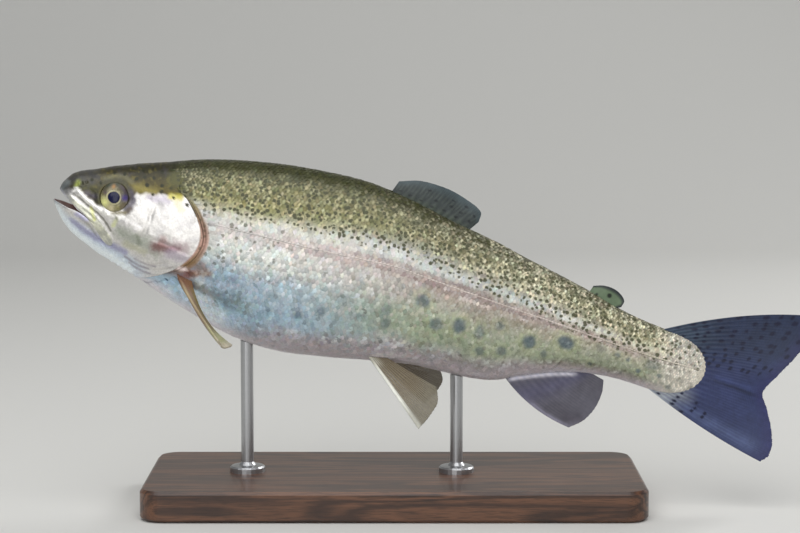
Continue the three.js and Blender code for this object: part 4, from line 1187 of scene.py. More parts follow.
def lateral_thread(side_name, side):
    """A tube along the lateral row: half width = 0.24 + 0.07 cos(2 pi n) mm, where n counts the scales; it
    is a little more than half as high, and thin at both ends."""
    s = np.linspace(THREAD_START, THREAD_END, THREAD_RINGS)[:, None]
    turn = turn_at(s, lateral_at(s))
    middle = body(s, turn, out=THREAD_OUT, swell=0)
    aft = body(s + 0.05, turn_at(s + 0.05, lateral_at(s + 0.05)), out=THREAD_OUT, swell=0) - middle
    down = body(s, turn + 0.001, out=THREAD_OUT, swell=0) - middle
    normal = np.cross(down, aft)
    normal /= np.linalg.norm(normal, axis=-1, keepdims=True)
    wide = np.cross(normal, aft / np.linalg.norm(aft, axis=-1, keepdims=True))
    n = np.interp(s, fine_s, count_along)
    ends = np.minimum(step(57.9, 70, s) + 0.15, step(262.1, 255, s) + 0.1)
    half = (THREAD_HALF + THREAD_BEAD * np.cos(2 * np.pi * n)) * ends
    a = np.linspace(0, 2 * np.pi, THREAD_SIDES, endpoint=False)[None, :]
    across, high = half * np.cos(a), THREAD_FLAT * half * np.sin(a)
    points = middle + wide * across[..., None] + normal * high[..., None]
    points = np.r_[points.reshape(-1, 3), middle[0], middle[-1]] * np.array([1.0, -side, 1.0])
    at_s = points[:, 0]
    pale = step(75, 125, at_s) * (0.65 + 0.35 * value_noise(at_s / 2.4, at_s * 0, 35))
    pale *= 1 - 0.85 * step(202, 232, at_s)
    colour = mix(trunk_colour(at_s, points[:, 2]) * 1.1, linear("#e2d6ce"), np.clip(0.08 + 0.85 * pale, 0, 1))
    values = {
        "ground": np.clip(colour, 0, 1),
        "silver": np.full(len(at_s), 0.3),
        "speckle": np.zeros(len(at_s)),
        "tone": np.ones(len(at_s)),
    }
    faces = tube_faces(THREAD_RINGS, THREAD_SIDES)
    piece = mesh_piece(f"lateral_line_{side_name}", pose(points), faces, scale_material, values)
    round_the_tube = np.r_[np.tile(np.cos(a[0]), THREAD_RINGS), 0, 0]
    bake_map(piece, 0.01 + 0.98 * (at_s - 57) / 206, 0.5 + 0.4 * round_the_tube)
    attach(piece, "root")


for side_name, side in SIDES:
    lateral_thread(side_name, side)

# %% [markdown]
# ## Fins
# A fin is a fan of soft rays with thin skin between them. Each ray is jointed and splits in two towards the
# edge, and then in two again. Curves with a skin could make one, but a single closed sheet is simpler: its
# half thickness is a wave across the fan whose count doubles outwards, and its edge is a little drawn in
# between the rays. Root and tip lines are those of the CAD fin, so the sheet lies where the solid is.

# %% The fan function
RAY_STEPS = 9  # grid steps across one ray
RAY_SEED = 5
STRAIGHT = ((0, 0, 0), (0, 0, 0))  # the bow, in mm, of the front and the rear edge of a fin with none


def ray_wave(u, v, rays, random):
    """1 on a ray and 0 between two. The count of rays doubles half of the way out and again near the edge.
    Returns the wave and its last, finest part."""
    phase = u * rays + 0.12 * np.interp(u * rays, np.arange(rays + 1), random.uniform(-1, 1, rays + 1))
    first, second, third = (np.abs(np.cos(n * np.pi * phase)) ** 1.5 for n in (1, 2, 4))
    split, split_again = step(0.3, 0.62, v)[:, None], step(0.68, 0.92, v)[:, None]
    wave = first * (1 - split) + second * split
    return wave * (1 - split_again) + third * split_again, third


def fin_sheet(root, tip, face, rays, thick, bow=STRAIGHT, curl=0.0, out=70, ripple=0.0, rib=0.35):
    """Closed sheet in the straight fish. Point (u, v) = root(u) + (tip(u) - root(u)) v + bow(u) 4 v (1 - v).
    Half thickness = thick(v) * (1 - rib + rib * ray wave). curl moves the edge out along the face by
    curl * v^2, and ripple adds a wave along u."""
    columns = rays * RAY_STEPS + 1
    u = np.linspace(0, 1, columns)
    v = np.linspace(0, 1, out) ** 0.9
    random = np.random.default_rng(RAY_SEED)
    from_, to = smooth_line(root, columns), smooth_line(tip, columns)
    wave, third = ray_wave(u, v, rays, random)
    frayed = random.random(columns // 3 + 2)[(np.arange(columns) + 1) // 3]
    notch = 1 - 0.008 * (1 - third) - 0.006 * frayed
    reach = 1 - (1 - notch) * step(0.6, 1.0, v)[:, None]
    bow_front, bow_rear = np.array(bow, float)
    bows = bow_front + (bow_rear - bow_front) * u[:, None]
    share = (v[:, None] * reach)[..., None]
    sheet = from_ * (1 - share) + to * share + bows[None] * (4 * share * (1 - share))
    face = np.array(face, float) / np.linalg.norm(face)
    sway = curl * v[:, None] ** 2 + ripple * v[:, None] * np.sin(2 * np.pi * 1.6 * u + 0.8) * v[:, None]
    sheet = sheet + face * sway[..., None]
    half = (thick[0] + (thick[1] - thick[0]) * v[:, None] ** 0.6) / 2 * (1 - rib + rib * wave)
    normal = np.cross(np.gradient(sheet, axis=1), np.gradient(sheet, axis=0))
    normal /= np.maximum(np.linalg.norm(normal, axis=-1, keepdims=True), 1e-9)
    normal *= np.sign((normal * face).sum(-1, keepdims=True))
    near, far = sheet + normal * half[..., None], sheet - normal * half[..., None]
    size = out * columns
    points = np.concatenate([near.reshape(-1, 3), far.reshape(-1, 3)])
    front = grid_faces(out, columns)
    back = front[:, ::-1] + size
    rim = np.concatenate([
        np.arange(columns), np.arange(1, out) * columns + columns - 1,
        (out - 1) * columns + np.arange(columns - 2, -1, -1), np.arange(out - 2, 0, -1) * columns,
    ])
    following = np.roll(rim, -1)
    faces = [np.concatenate([front, back, np.stack([following, rim, rim + size, following + size], -1)])]
    uu, vv = np.broadcast_arrays(u[None, :], v[:, None])
    return points, faces, *(np.tile(a.ravel(), 2) for a in (uu, vv, wave + 0 * uu))


# %% [markdown]
# ## Fin skin
# The web between the rays is clear with a little pigment, and the rays are denser. The shader mixes the two
# by the ray wave kept on the points, adds the joints of the rays as fine bands, and lets some light
# through.

# %% The fin material
JOINT_BANDS = 240.0  # radians of banding from root to edge, so about 38 joints a ray


def fin_skin(name, web, ray, web_alpha):
    """Colour and cover run from web to ray with the wave; bands across the rays are their joints."""
    material, tree, shader = new_material(name)
    place = node(tree, "ShaderNodeTexCoord").outputs["Object"]
    wave, out = stored(tree, "wave"), stored(tree, "reach")
    tint, cover = stored(tree, "ground", "Color"), stored(tree, "cover")
    base = node(tree, "ShaderNodeMix", {"Factor": wave}, data_type="RGBA")
    base.inputs[6].default_value, base.inputs[7].default_value = rgba(web), rgba(ray)
    joints = node(tree, "ShaderNodeMath", {0: out}, operation="MULTIPLY")
    joints.inputs[1].default_value = JOINT_BANDS
    band = node(tree, "ShaderNodeMath", {0: joints.outputs[0]}, operation="SINE")
    fine = node(tree, "ShaderNodeTexNoise", {"Vector": place}, Scale=700, Detail=3)
    jitter = node(tree, "ShaderNodeMapRange", {"Value": fine.outputs["Fac"]}, To_Min=0.8, To_Max=1.2)
    colours = {"A": base.outputs[2], "B": tint}
    tinted = node(tree, "ShaderNodeMix", colours, data_type="RGBA", blend_type="MULTIPLY")
    tinted.inputs[0].default_value = 1.0
    uneven = {0: tinted.outputs[2], "Scale": jitter.outputs[0]}
    toned = node(tree, "ShaderNodeVectorMath", uneven, operation="SCALE")
    tree.links.new(toned.outputs[0], shader.inputs["Base Color"])
    clear = node(tree, "ShaderNodeMapRange", {"Value": wave}, To_Min=web_alpha, To_Max=1.0)
    solid = node(tree, "ShaderNodeMath", {0: clear.outputs[0], 1: cover}, operation="MAXIMUM")
    tree.links.new(solid.outputs[0], shader.inputs["Alpha"])
    height = node(tree, "ShaderNodeBump", {"Height": band.outputs[0]}, Strength=0.15, Distance=0.0001)
    tree.links.new(height.outputs[0], shader.inputs["Normal"])
    settle(shader, {"Roughness": 0.5, "Specular IOR Level": 0.3, "Coat Weight": 0.12, "Coat Roughness": 0.2})
    return material


def fin(node_name, material, slot, colour, **shape):
    """Makes a fin from its fan, coloured by colour(s, h, u, v), which gives a tint and how opaque it is."""
    points, faces, u, v, wave = fin_sheet(**shape)
    tint, cover = colour(points[:, 0], points[:, 2], u, v)
    values = {"ground": tint, "cover": cover, "wave": wave * (shape["rib"] > 0), "reach": v}
    piece = mesh_piece(f"{node_name}_skin", pose(points), faces, material, values)
    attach(piece, "root")
    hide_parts(node_name)


# %% Fin skins
ONE = np.ones(3)  # a fin's tints multiply the colour of its skin, so ONE leaves it as it is
SPOT = linear("#1d2028")
slate_web = fin_skin("tail fin skin, slate", "#2a3157", "#313b60", 0.99)
olive_web = fin_skin("dorsal fin skin, olive grey", "#363d3e", "#444b48", 0.93)
lilac_web = fin_skin("anal fin skin, lilac grey", "#605f6b", "#67656f", 0.93)
brown_web = fin_skin("paired fin skin, brown", "#76664f", "#8c7b60", 0.86)
smoky_web = fin_skin("pelvic fin skin, smoky", "#746753", "#7e725b", 0.45)


# %% Spots along the rays
def along_rays(count, rows, first, last, length, seed, keep=lambda u, v: True):
    """Seeded spots as (u, v, length) in rows along the rays: u of a row, v places at uneven steps."""
    random, placed = np.random.default_rng(seed), []
    for u in np.linspace(first, last, rows):
        for v in np.arange(0.06, 0.95, 0.95 / count):
            at = (u + random.normal(0, 0.008), v + random.uniform(-0.35, 0.35) / count)
            if keep(*at) and random.random() < 0.8:
                placed.append((*at, length * random.uniform(0.6, 1.3)))
    return placed


def ray_spots(u, v, places, wide):
    """1 inside the elongated spots of along_rays, 0 outside."""
    inside = np.zeros(np.shape(u))
    for at_u, at_v, long in places:
        inside = np.maximum(inside, step(1.35, 0.75, np.hypot((u - at_u) / wide, (v - at_v) / long)))
    return inside


# %% Tail fin
tail_spots = along_rays(10, 9, 0.02, 0.46, 0.017, 7)
tail_spots += along_rays(7, 4, 0.82, 0.97, 0.016, 8, lambda u, v: v < 0.55)
NAVY = np.array([0.1, 0.12, 0.26])
print(len(tail_spots), "spots on the tail fin")


def tail_colour(s, h, u, v):
    """Slate blue: teal over the upper base, pale below the stalk, a crease in painted shade with a painted
    highlight beside it, a pale lower edge, navy spots.
    """
    mottle = 1 + 0.12 * value_noise(s / 3.0, h / 2.4, 71) + 0.08 * value_noise(s / 1.1, h / 0.9, 72)
    tint = mix(ONE, np.array([0.68, 0.85, 0.74]), 0.85 * step(0.52, 0.25, u))
    tint = mix(tint, np.array([1.6, 1.9, 1.1]), 0.85 * step(0.42, 0.1, v) * step(0.5, 0.15, u))
    tint = mix(tint, np.array([13.0, 10.2, 4.0]), 0.9 * step(0.36, 0.06, v) * step(0.62, 0.86, u))
    # painted shade along a crease of the fin, and a painted highlight beside it
    fold = u - 0.56 - 0.04 * v
    tint = mix(tint, ONE * 0.45, 0.8 * bell(fold, 0.016) * step(0.3, 0.65, v))
    tint = mix(tint, ONE * 1.9, 0.5 * bell(fold + 0.03, 0.016) * step(0.3, 0.6, v) * step(1.0, 0.85, v))
    pale = bell(u - 0.93, 0.05) * step(0.1, 0.3, v) * step(1.0, 0.8, v)
    tint = mix(tint, np.array([2.9, 2.8, 2.1]), 0.7 * pale)
    tint = mix(tint, np.array([1.15, 0.85, 1.1]), 0.6 * step(0.84, 1.0, v))
    tint = tint * (1 - 0.22 * step(0.45, 0.2, u) + 0.14 * bell(u - 0.68, 0.1))[..., None]
    tint = mix(tint, NAVY, 0.97 * ray_spots(u, v, tail_spots, 0.016))
    return tint * mottle[..., None], step(1.0, 0.9, v)


fin(
    "tail_fin", slate_web, "fin", tail_colour,
    root=[(243.5, 0, 8.4), (250, 0, 4), (252, 0, -3.5), (250, 0, -11), (243.5, 0, -15.2)],
    tip=[(303, 0, 30.2), (300.4, 0, 21.8), (296, 0, 12), (291.4, 0, 3.2), (287.6, 0, -5),
         (291, 0, -11), (294.4, 0, -17.5), (296.4, 0, -23.5), (296.4, 0, -28.4), (293.8, 0, -31.4)],
    bow=((0, 0, 3.0), (0, 0, -1.6)), face=(0, 1, 0), thick=(2.4, 0.5), rays=24, curl=-1.5, ripple=1.0,
    rib=0.14, out=90,
)

# %% Dorsal and adipose fins
dorsal_spots = along_rays(4, 7, 0.08, 0.9, 0.035, 9, lambda u, v: v < 0.8)


def dorsal_colour(s, h, u, v):
    """Blue-grey, paler towards the edge, olive at the root, with rows of faint spots."""
    mottle = 1 + 0.15 * value_noise(s / 2.2, h / 2.0, 73)
    tint = mix(ONE, np.array([1.5, 1.7, 2.0]), 0.7 * step(0.6, 1.0, v))
    tint = mix(tint, np.array([1.5, 1.6, 1.0]), 0.7 * step(0.45, 0.0, v))
    tint = mix(tint, SPOT * 8, 0.6 * ray_spots(u, v, dorsal_spots, 0.022))
    return tint * mottle[..., None], step(0.5, 0.1, v)


fin(
    "dorsal_fin", olive_web, "fin", dorsal_colour,
    root=[(125.5, 0, 31.2), (136, 0, 30.2), (148, 0, 27.2), (159, 0, 25.4)],
    tip=[(128.4, 0, 38.2), (137, 0, 40.6), (147, 0, 40.4), (155.5, 0, 38.2), (162.6, 0, 34.8),
         (162.8, 0, 30.8)],
    face=(0, 1, 0), thick=(1.4, 0.4), rays=12, curl=1.2, ripple=0.5, out=60, rib=0.15,
)


ADIPOSE_SPOTS = [(220.0, 16.0, 0.9), (215.0, 15.2, 0.5)]  # s, h, radius in mm


def spots(s, h, places, soft=0.35):
    """1 inside any of the round spots (s, h, radius), 0 outside, with a soft edge."""
    inside = np.zeros(np.shape(s))
    for at_s, at_h, radius in places:
        inside = np.maximum(inside, step(radius + soft, radius - soft, np.hypot(s - at_s, h - at_h)))
    return inside


def adipose_colour(s, h, u, v):
    """Pale olive with a dark rim and two dark spots; it has no rays and lets no light through."""
    edge = np.maximum(step(0.72, 0.94, v), step(0.86, 0.97, u))
    tint = mix(np.array([3.6, 4.0, 2.3]), ONE * 0.7, edge)
    return mix(tint, SPOT * 2, 0.9 * spots(s, h, ADIPOSE_SPOTS)), np.ones(len(s))


fin(
    "adipose_fin", olive_web, "fin", adipose_colour,
    root=[(211.5, 0, 13.8), (217, 0, 12.5), (222.5, 0, 10.9)],
    tip=[(213, 0, 18.1), (217.5, 0, 19.3), (222.6, 0, 18.5), (226.1, 0, 15.6), (225.6, 0, 12.8)],
    face=(0, 1, 0), thick=(2.4, 0.7), rays=9, out=40, ripple=0.3, rib=0.0,
)


# %% Anal fin
ROOT_LAP = 2  # mm the fin's root lies inside the belly


def anal_colour(s, h, u, v):
    """Lilac grey with a smoky middle, a pale front edge and a white line where it leaves the belly."""
    mottle = 1 + 0.12 * value_noise(s / 2.6, h / 2.4, 74)
    tint = mix(ONE, np.array([2.4, 2.4, 2.5]), 0.8 * step(0.09, 0.02, u) * step(0.15, 0.5, v))
    tint = mix(tint, ONE * 1.7, 0.7 * step(0.88, 1.0, v) * step(0.5, 0.1, u))
    tint = mix(tint, np.array([0.85, 0.85, 1.2]), 0.7 * bell(v - 0.32, 0.16))
    fold = bell(h + bottom_at(np.clip(s, 187, 227)) + 0.9, 0.9) * step(189, 192, s) * step(217, 213, s)
    return mix(tint, np.array([6.5, 6.6, 6.0]), 0.95 * fold) * mottle[..., None], step(0.4, 0.1, v)


fin(
    "anal_fin", lilac_web, "pale_fin", anal_colour,
    root=[(at, 0, ROOT_LAP - float(bottom_at(at))) for at in (187.5, 194.9, 202.3, 209.6, 217)],
    tip=[(218.6, 0, -39.4), (223.4, 0, -34.8), (226.4, 0, -28.8), (227.4, 0, -22.4), (226.6, 0, -17.2)],
    face=(0, 1, 0), thick=(1.8, 0.4), rays=12, bow=((-1.2, 0, -2.2), (0, 0, 0)), curl=1.6, ripple=0.6,
    rib=0.05,
)


# %% Paired fins
def pelvic_colour(s, h, u, v):
    """Smoky and clear, with a thick white front ray and a white root."""
    tint = mix(ONE, np.array([4.6, 5.8, 8.4]), 0.95 * step(0.14, 0.06, u))
    tint = mix(tint, np.array([4.2, 5.0, 7.0]), 0.9 * bell(np.hypot(u * 7.2, v * 30 - 1.5), 2.2))
    tint = mix(tint, np.array([2.2, 2.7, 3.4]), 0.7 * step(0.18, 0.02, v) * step(0.6, 0.2, u))
    tint = mix(tint, np.array([1.2, 1.4, 1.7]), 0.6 * step(0.5, 0.9, v))
    return tint, np.maximum(0.8 * step(0.3, 0.0, v), step(0.14, 0.06, u))


def pectoral_colour(s, h, u, v):
    """Reddish fleshy root, olive-brown blade with a light front ray, and a pale tip."""
    tint = mix(np.array([1.3, 1.2, 1.4]), np.array([0.9, 0.95, 0.6]), step(0.5, 0.85, u))
    tint = mix(tint, np.array([0.85, 0.5, 0.42]), 0.85 * step(0.3, 0.12, v))
    tint = mix(tint, np.array([1.9, 2.1, 2.0]), 0.45 * step(0.16, 0.04, u) * step(0.1, 0.3, v))
    tint = mix(tint, np.array([2.1, 2.7, 2.5]), 0.9 * step(0.68, 0.84, v))
    tint = mix(tint, np.array([2.8, 3.2, 4.4]), 0.7 * step(0.88, 0.98, v))
    return tint, step(0.6, 0.3, v)


# The pectoral fins aren't alike: the left one hangs and the right one is spread, so each side has its own
# tip line, facing and bow.
PECTORAL_TIPS = {
    -1: [(75, -35, -37), (77.4, -31.6, -38.9), (79.6, -28, -39.2), (80.9, -24, -38.2)],
    1: [(85.6, 34, -27.4), (87.2, 30.4, -31.6), (84.6, 26.6, -34.6), (78.6, 22.8, -33.6)],
}
PECTORAL_FACES = {-1: (0.58, -0.23, 0.78), 1: (0.24, 0.5, 0.83)}
PECTORAL_BOWS = {-1: ((-0.3, 0, -0.3), (-2.9, 0, -3.1)), 1: STRAIGHT}
PELVIC_RAISED = {-1: 0, 1: 4}  # mm the tip of each pelvic fin is lifted
for side_name, side in SIDES:
    up = PELVIC_RAISED[side]
    fin(
        f"pelvic_fin_{side_name}", smoky_web, "pale_fin", pelvic_colour,
        root=[(134.4, side * 7.4, -31.4), (138, side * 7.2, -30.8), (141.6, side * 7.0, -30.2)],
        tip=[(160.8, side * 18, up - 52.6), (164.0, side * 16, up - 46.4), (165.4, side * 13.5, up - 41),
             (163.6, side * 11, up - 36)],
        face=(0.1, 0.9, side * 0.42), thick=(1.8, 0.4), rays=10, curl=side * 1.0, ripple=0.5, rib=0.14,
    )
    fin(
        f"pectoral_fin_{side_name}", brown_web, "pale_fin", pectoral_colour,
        root=[(51.6, side * 12.2, -16.8), (54.8, side * 12.9, -16.6), (57.8, side * 13.2, -15.2)],
        tip=PECTORAL_TIPS[side], face=PECTORAL_FACES[side], bow=PECTORAL_BOWS[side],
        thick=(2.1, 0.5), rays=13, curl=0.8, ripple=0.4, rib=0.14,
    )

# %% [markdown]
# ## Eyes
# A trout's eye is a flat ball with a black, slightly pear-shaped pupil that bulges out, a thin pale ring
# round it and an olive-gold iris with dark bars. It has no lids. A sphere with a picture would be usual;
# here a round grid carries the bulge, and its colours are rings and clouds worked out from angle and
# radius.

# %% Colours of the eye
PUPIL = 0.38  # its radius as a share of the eye's


def pear(angle):
    """How far the pupil's edge is drawn out: most towards the snout, where there is a gap beside the lens."""
    return 1 + 0.12 * np.maximum(np.cos(angle - np.pi), 0) ** 4


def eye_colour(r, a):
    """Iris and pupil from radius r and angle a: 0 towards the tail, 90 degrees up, 180 towards the snout."""
    deg = np.degrees(a) % 360
    x, z = r * np.cos(a), r * np.sin(a)
    cloud = 0.5 + 0.5 * value_noise(x * 5 + 20, z * 5 + 20, 51)
    cloud = cloud + 0.35 * value_noise(x * 13 + 30, z * 13 + 30, 52)
    above = step(-0.15, 0.35, z)
    colour = mix(linear("#8c866a"), linear("#6a6448"), step(0.3, 0.85, cloud))
    colour = mix(colour, linear("#4b4738"), 0.9 * step(0.55, 0.82, r + 0.08 * cloud) * above)
    colour = mix(colour, linear("#dcdc92"), 0.95 * bell(np.hypot(x + 0.57, z + 0.5), 0.33))
    colour = mix(colour, linear("#cdc19a"), 0.85 * bell(np.hypot(x + 0.02, z + 0.78), 0.24))
    colour = mix(colour, linear("#948d5c"), 0.7 * bell(np.hypot(x - 0.42, z + 0.58), 0.22))
    bar = step(0.74, 0.86, r) * step(70, 95, deg) * step(160, 130, deg)
    colour = mix(colour, linear("#3d4436"), 0.85 * bar)
    bar = step(0.66, 0.8, r) * step(25, 45, deg) * step(85, 65, deg)
    colour = mix(colour, linear("#4c4145"), 0.8 * bar)
    colour = mix(colour, linear("#4c4180"), 0.95 * bell(np.hypot((x - 0.73) / 1.2, z - 0.13), 0.23))
    colour = mix(colour, linear("#4b3a4c"), 0.7 * bell(np.hypot(x + 0.66, z - 0.14), 0.13))
    bar = step(0.6, 0.78, r) * step(305, 320, deg) * step(352, 340, deg)
    colour = mix(colour, linear("#6a5f4c"), 0.8 * bar)
    ring = bell(r - PUPIL * 1.17 * pear(a), 0.045) * (0.7 + 0.3 * np.cos(2 * (a + 0.5)))
    colour = mix(colour, linear("#cfc9a4"), 0.8 * ring)
    colour = mix(colour, linear("#b38650"), 0.85 * bell(np.hypot(x / 0.8 + 0.26, z - 0.68), 0.15))
    colour = mix(colour, linear("#14163a"), step(PUPIL * 1.06, PUPIL * 0.96, r / pear(a)))
    return mix(colour, linear("#45422f"), 0.6 * step(0.92, 1.0, r) * above)


def wet_eye():
    """Principled shader with a thin clear coat over the eye's own colours: the wet cornea."""
    material, tree, shader = new_material("eye under wet cornea")
    ground = stored(tree, "ground", "Color")
    place = node(tree, "ShaderNodeTexCoord").outputs["Object"]
    grain = node(tree, "ShaderNodeTexNoise", {"Vector": place}, Scale=2500, Detail=2)
    shade = node(tree, "ShaderNodeMapRange", {"Value": grain.outputs["Fac"]}, To_Min=0.75, To_Max=1.25)
    toned = node(tree, "ShaderNodeVectorMath", {0: ground, "Scale": shade.outputs[0]}, operation="SCALE")
    tree.links.new(toned.outputs[0], shader.inputs["Base Color"])
    settle(shader, {"Roughness": 0.25, "Specular IOR Level": 0.2, "Coat Weight": 0.25, "Coat Roughness": 0.1})
    return material


# %% Eyeballs
EYE_RINGS, EYE_SECTORS = 60, 120
EYE_DOME, EYE_BACK, LENS_BULGE = 1.85, 2.4, 0.32  # mm heights of the dome, the bowl behind it and the lens
EYE_LAP = 0.25  # mm the eyeball reaches under the socket's rim


def eyeball(side_name, side, material):
    """A closed lens. Over the side view's disc: y = plane through the socket's rim - dome * sqrt(1 - r^2)."""
    r = np.sin(np.linspace(0, np.pi / 2, EYE_RINGS + 1))[1:, None]
    a = np.linspace(0, 2 * np.pi, EYE_SECTORS, endpoint=False)[None, :]
    reach = EYE["radius"] + EYE_LAP
    rim_s, rim_h = EYE["s"] + reach * np.cos(a[0]), EYE["h"] + reach * np.sin(a[0])
    rim_y = body(rim_s, turn_at(rim_s, rim_h))[:, 1]
    terms = np.stack([np.ones(EYE_SECTORS), np.cos(a[0]), np.sin(a[0])], -1)
    tilt, *_ = np.linalg.lstsq(terms, rim_y, rcond=None)
    plane = tilt[0] + r * (tilt[1] * np.cos(a) + tilt[2] * np.sin(a)) + 0.45 * r**2
    lens = LENS_BULGE * np.sqrt(np.maximum(1 - (r / (PUPIL * 1.05 * pear(a))) ** 2, 0))
    dome = EYE_DOME * (np.sqrt(1.02 - r**2) - np.sqrt(0.02)) + lens - 0.1 * bell(r - PUPIL * 1.4, 0.12)
    bowl = -EYE_BACK * np.sqrt(np.maximum(1 - r**2, 0))
    disc = EYE["s"] + reach * r * np.cos(a), EYE["h"] + reach * r * np.sin(a)
    front = np.stack(np.broadcast_arrays(disc[0], plane - dome, disc[1]), -1)
    rear = np.stack(np.broadcast_arrays(disc[0], plane - bowl, disc[1]), -1)[::-1][1:]
    ends = [[EYE["s"], tilt[0] - EYE_DOME - 0.05, EYE["h"]], [EYE["s"], tilt[0] + EYE_BACK, EYE["h"]]]
    points = np.r_[np.concatenate([front, rear]).reshape(-1, 3), ends]
    faces = tube_faces(2 * EYE_RINGS - 1, EYE_SECTORS)
    x, z = (points[:, 0] - EYE["s"]) / reach, (points[:, 2] - EYE["h"]) / reach
    colour = eye_colour(np.hypot(x, z), np.arctan2(z, x))
    points = points * np.array([1.0, -side, 1.0])
    piece = mesh_piece(f"eyeball_{side_name}", pose(points), faces, material, {"ground": colour})
    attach(piece, "root")
    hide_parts(f"eye_{side_name}")


cornea = wet_eye()
for side_name, side in SIDES:
    eyeball(side_name, side, cornea)

# %% [markdown]
# ## Walnut base, steel rods
# The stand keeps its CAD solids and gets real finishes. Walnut is brown with darker growth rings, cut here
# as long flames by stretched noise, with fine pores along the grain under a satin varnish. The rods are
# brushed steel: a metal whose roughness and tiny grooves follow the turning, round the rod.

# %% Walnut
GRAIN_STRETCH = (9, 120, 120)  # of the growth rings' noise, along the board and across it
PORE_STRETCH = (160, 3300, 3300)
RING_BANDS = 34.0  # radians of banding over the noise's range


def walnut():
    """Colour = ramp of bands stretched along x, broken by noise; pores are dark dashes 0.3 mm wide."""
    material, tree, shader = new_material("walnut, satin varnish")
    place = node(tree, "ShaderNodeTexCoord").outputs["Object"]
    stretched = node(tree, "ShaderNodeMapping", {"Vector": place})
    stretched.inputs["Scale"].default_value = GRAIN_STRETCH
    along = {"Vector": stretched.outputs[0]}
    wave = node(tree, "ShaderNodeTexNoise", along, Scale=1.0, Detail=4, Distortion=0.6)
    bands = node(tree, "ShaderNodeMath", {0: wave.outputs["Fac"]}, operation="MULTIPLY")
    bands.inputs[1].default_value = RING_BANDS
    rings = node(tree, "ShaderNodeMath", {0: bands.outputs[0]}, operation="SINE")
    share = node(tree, "ShaderNodeMapRange", {"Value": rings.outputs[0]}, From_Min=-1, From_Max=1)
    grain = node(tree, "ShaderNodeMix", {"Factor": share.outputs[0]}, data_type="RGBA")
    grain.inputs[6].default_value, grain.inputs[7].default_value = rgba("#3b2418"), rgba("#6a4630")
    pores_at = node(tree, "ShaderNodeMapping", {"Vector": place})
    pores_at.inputs["Scale"].default_value = PORE_STRETCH
    pores = node(tree, "ShaderNodeTexNoise", {"Vector": pores_at.outputs[0]}, Scale=1.0, Detail=2)
    dark = node(
        tree, "ShaderNodeMapRange", {"Value": pores.outputs["Fac"]},
        From_Min=0.36, From_Max=0.5, To_Min=0.55, To_Max=1.0,
    )
    darkened = {0: grain.outputs[2], "Scale": dark.outputs[0]}
    toned = node(tree, "ShaderNodeVectorMath", darkened, operation="SCALE")
    tree.links.new(toned.outputs[0], shader.inputs["Base Color"])
    height = node(tree, "ShaderNodeBump", {"Height": pores.outputs["Fac"]}, Strength=0.15, Distance=0.0002)
    tree.links.new(height.outputs[0], shader.inputs["Normal"])
    settle(shader, {"Roughness": 0.42, "Coat Weight": 0.3, "Coat Roughness": 0.25})
    return material


# %% Steel, and both on the stand
GROOVE_STRETCH = (60, 60, 6000)


def brushed_steel():
    """Metal whose grooves run round the rod: noise squeezed along z, so that its bands are 0.1 mm high."""
    material, tree, shader = new_material("stainless steel, brushed")
    place = node(tree, "ShaderNodeTexCoord").outputs["Object"]
    squeezed = node(tree, "ShaderNodeMapping", {"Vector": place})
    squeezed.inputs["Scale"].default_value = GROOVE_STRETCH
    lines = node(tree, "ShaderNodeTexNoise", {"Vector": squeezed.outputs[0]}, Scale=1.0, Detail=3)
    rough = node(tree, "ShaderNodeMapRange", {"Value": lines.outputs["Fac"]}, To_Min=0.24, To_Max=0.44)
    tree.links.new(rough.outputs[0], shader.inputs["Roughness"])
    height = node(tree, "ShaderNodeBump", {"Height": lines.outputs["Fac"]}, Strength=0.2, Distance=0.0001)
    tree.links.new(height.outputs[0], shader.inputs["Normal"])
    shade = node(tree, "ShaderNodeMapRange", {"Value": lines.outputs["Fac"]}, To_Min=0.9, To_Max=1.05)
    toned = node(tree, "ShaderNodeVectorMath", {"Scale": shade.outputs[0]}, operation="SCALE")
    toned.inputs[0].default_value = linear("#b7b8ba")
    tree.links.new(toned.outputs[0], shader.inputs["Base Color"])
    settle(shader, {"Metallic": 1.0})
    return material


def finish_node(name, material):
    """Puts a material on a CAD node, whose own mesh stays as it is."""
    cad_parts[name].material_slots[0].material = material
    print(name, "is finished in", material.name)


finish_node("stand_base", walnut())
steel = brushed_steel()
for rod in ("stand_rod_front", "stand_rod_rear"):
    finish_node(rod, steel)

# %% [markdown]
# ## Floor, light and camera
# The setting is plain, so that the model carries the picture: a pale sheet for floor and backdrop in one
# curve, a big soft light over the left side, a lower one in front that makes the scales glint, and a long
# lens.

# %% Backdrop
SHEET_FRONT, SHEET_HALF, SHEET_TOP = -3.5, 3.0, 2.2  # metres
BEND_FROM, BEND_RADIUS = 1.0, 0.5
SHEET_DROP = 0.0002  # below the stand, so that the two don't touch


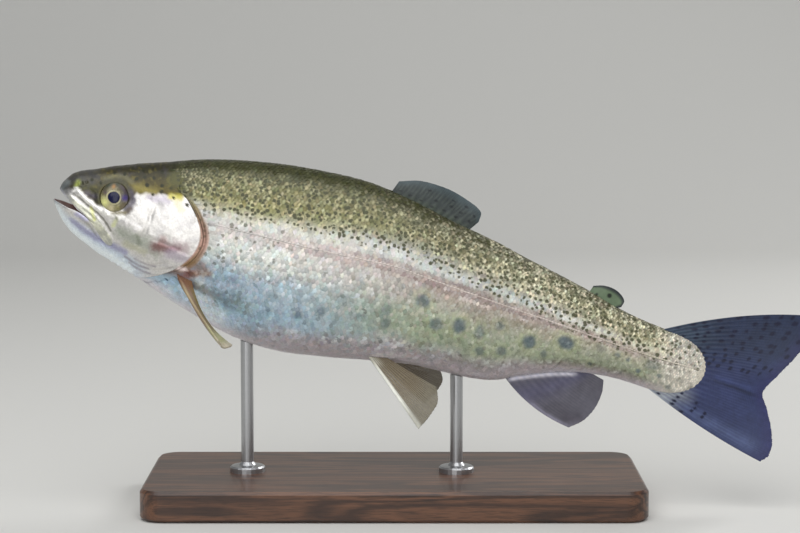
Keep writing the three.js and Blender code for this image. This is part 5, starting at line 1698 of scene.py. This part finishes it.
def backdrop():
    """A sheet whose profile is flat, then a quarter circle, then upright. From behind it is clear, so the
    model can be seen from every side."""
    bend = np.linspace(0, np.pi / 2, 24)
    curve = np.c_[BEND_FROM + BEND_RADIUS * np.sin(bend), BEND_RADIUS - BEND_RADIUS * np.cos(bend)]
    profile = np.r_[[[SHEET_FRONT, 0]], curve, [[BEND_FROM + BEND_RADIUS, SHEET_TOP]]]
    x = np.array([[-SHEET_HALF, SHEET_HALF]])
    points = np.stack(np.broadcast_arrays(x, profile[:, :1], profile[:, 1:] - SHEET_DROP), -1).reshape(-1, 3)
    material, tree, shader = new_material("matt paper")
    settle(shader, {"Base Color": rgba("#d9d8d4"), "Roughness": 0.9})
    behind = node(tree, "ShaderNodeNewGeometry").outputs["Backfacing"]
    clear = node(tree, "ShaderNodeBsdfTransparent").outputs[0]
    one_sided = node(tree, "ShaderNodeMixShader", {0: behind, 1: clear, 2: shader.outputs[0]})
    tree.links.new(one_sided.outputs[0], tree.nodes["Material Output"].inputs[0])
    return mesh_piece("backdrop", points, [grid_faces(len(profile), 2)], material)


backdrop()


# %% Lights
def soft_light(name, at, aim, size, power):
    """A square area light at a point, turned to face another; size in metres, power in watts."""
    light = bpy.data.lights.new(name, "AREA")
    light.size, light.energy = size, power
    lamp = bpy.data.objects.new(name, light)
    bpy.context.scene.collection.objects.link(lamp)
    lamp.location = at
    lamp.rotation_euler = (Vector(aim) - Vector(at)).to_track_quat("-Z", "Y").to_euler()
    print(f"{name}: {power} W, {size} m wide")


fish_middle = (0.0, 0.0, 0.09)
soft_light("sky panel", (-0.15, -0.55, 1.05), fish_middle, 1.3, 10.5)
soft_light("front panel", (-0.25, -1.2, 0.35), fish_middle, 0.7, 3.0)
soft_light("rim panel", (0.9, 0.7, 0.8), fish_middle, 0.5, 6)
world = bpy.data.worlds.new("studio")
bpy.context.scene.world = world
world.use_nodes = True
settle(world.node_tree.nodes["Background"], {"Color": rgba("#e4e7ea"), "Strength": 0.35})
bpy.context.scene.view_settings.view_transform = "Standard"

# %% Camera
CAMERA_LENS, CAMERA_SENSOR = 100, 36  # mm
CAMERA_DISTANCE, CAMERA_RISE = 0.877, np.radians(6.0)
aim = Vector((0.0022, -0.003, 0.0945))
camera_data = bpy.data.cameras.new("camera")
camera_data.lens, camera_data.sensor_width = CAMERA_LENS, CAMERA_SENSOR
camera = bpy.data.objects.new("camera", camera_data)
bpy.context.scene.collection.objects.link(camera)
bpy.context.scene.camera = camera
camera.location = aim + CAMERA_DISTANCE * Vector((0, -np.cos(CAMERA_RISE), np.sin(CAMERA_RISE)))
camera.rotation_euler = (aim - camera.location).to_track_quat("-Z", "Y").to_euler()
print("camera at", [round(c, 3) for c in camera.location])

# %% The end
bpy.context.view_layer.update()
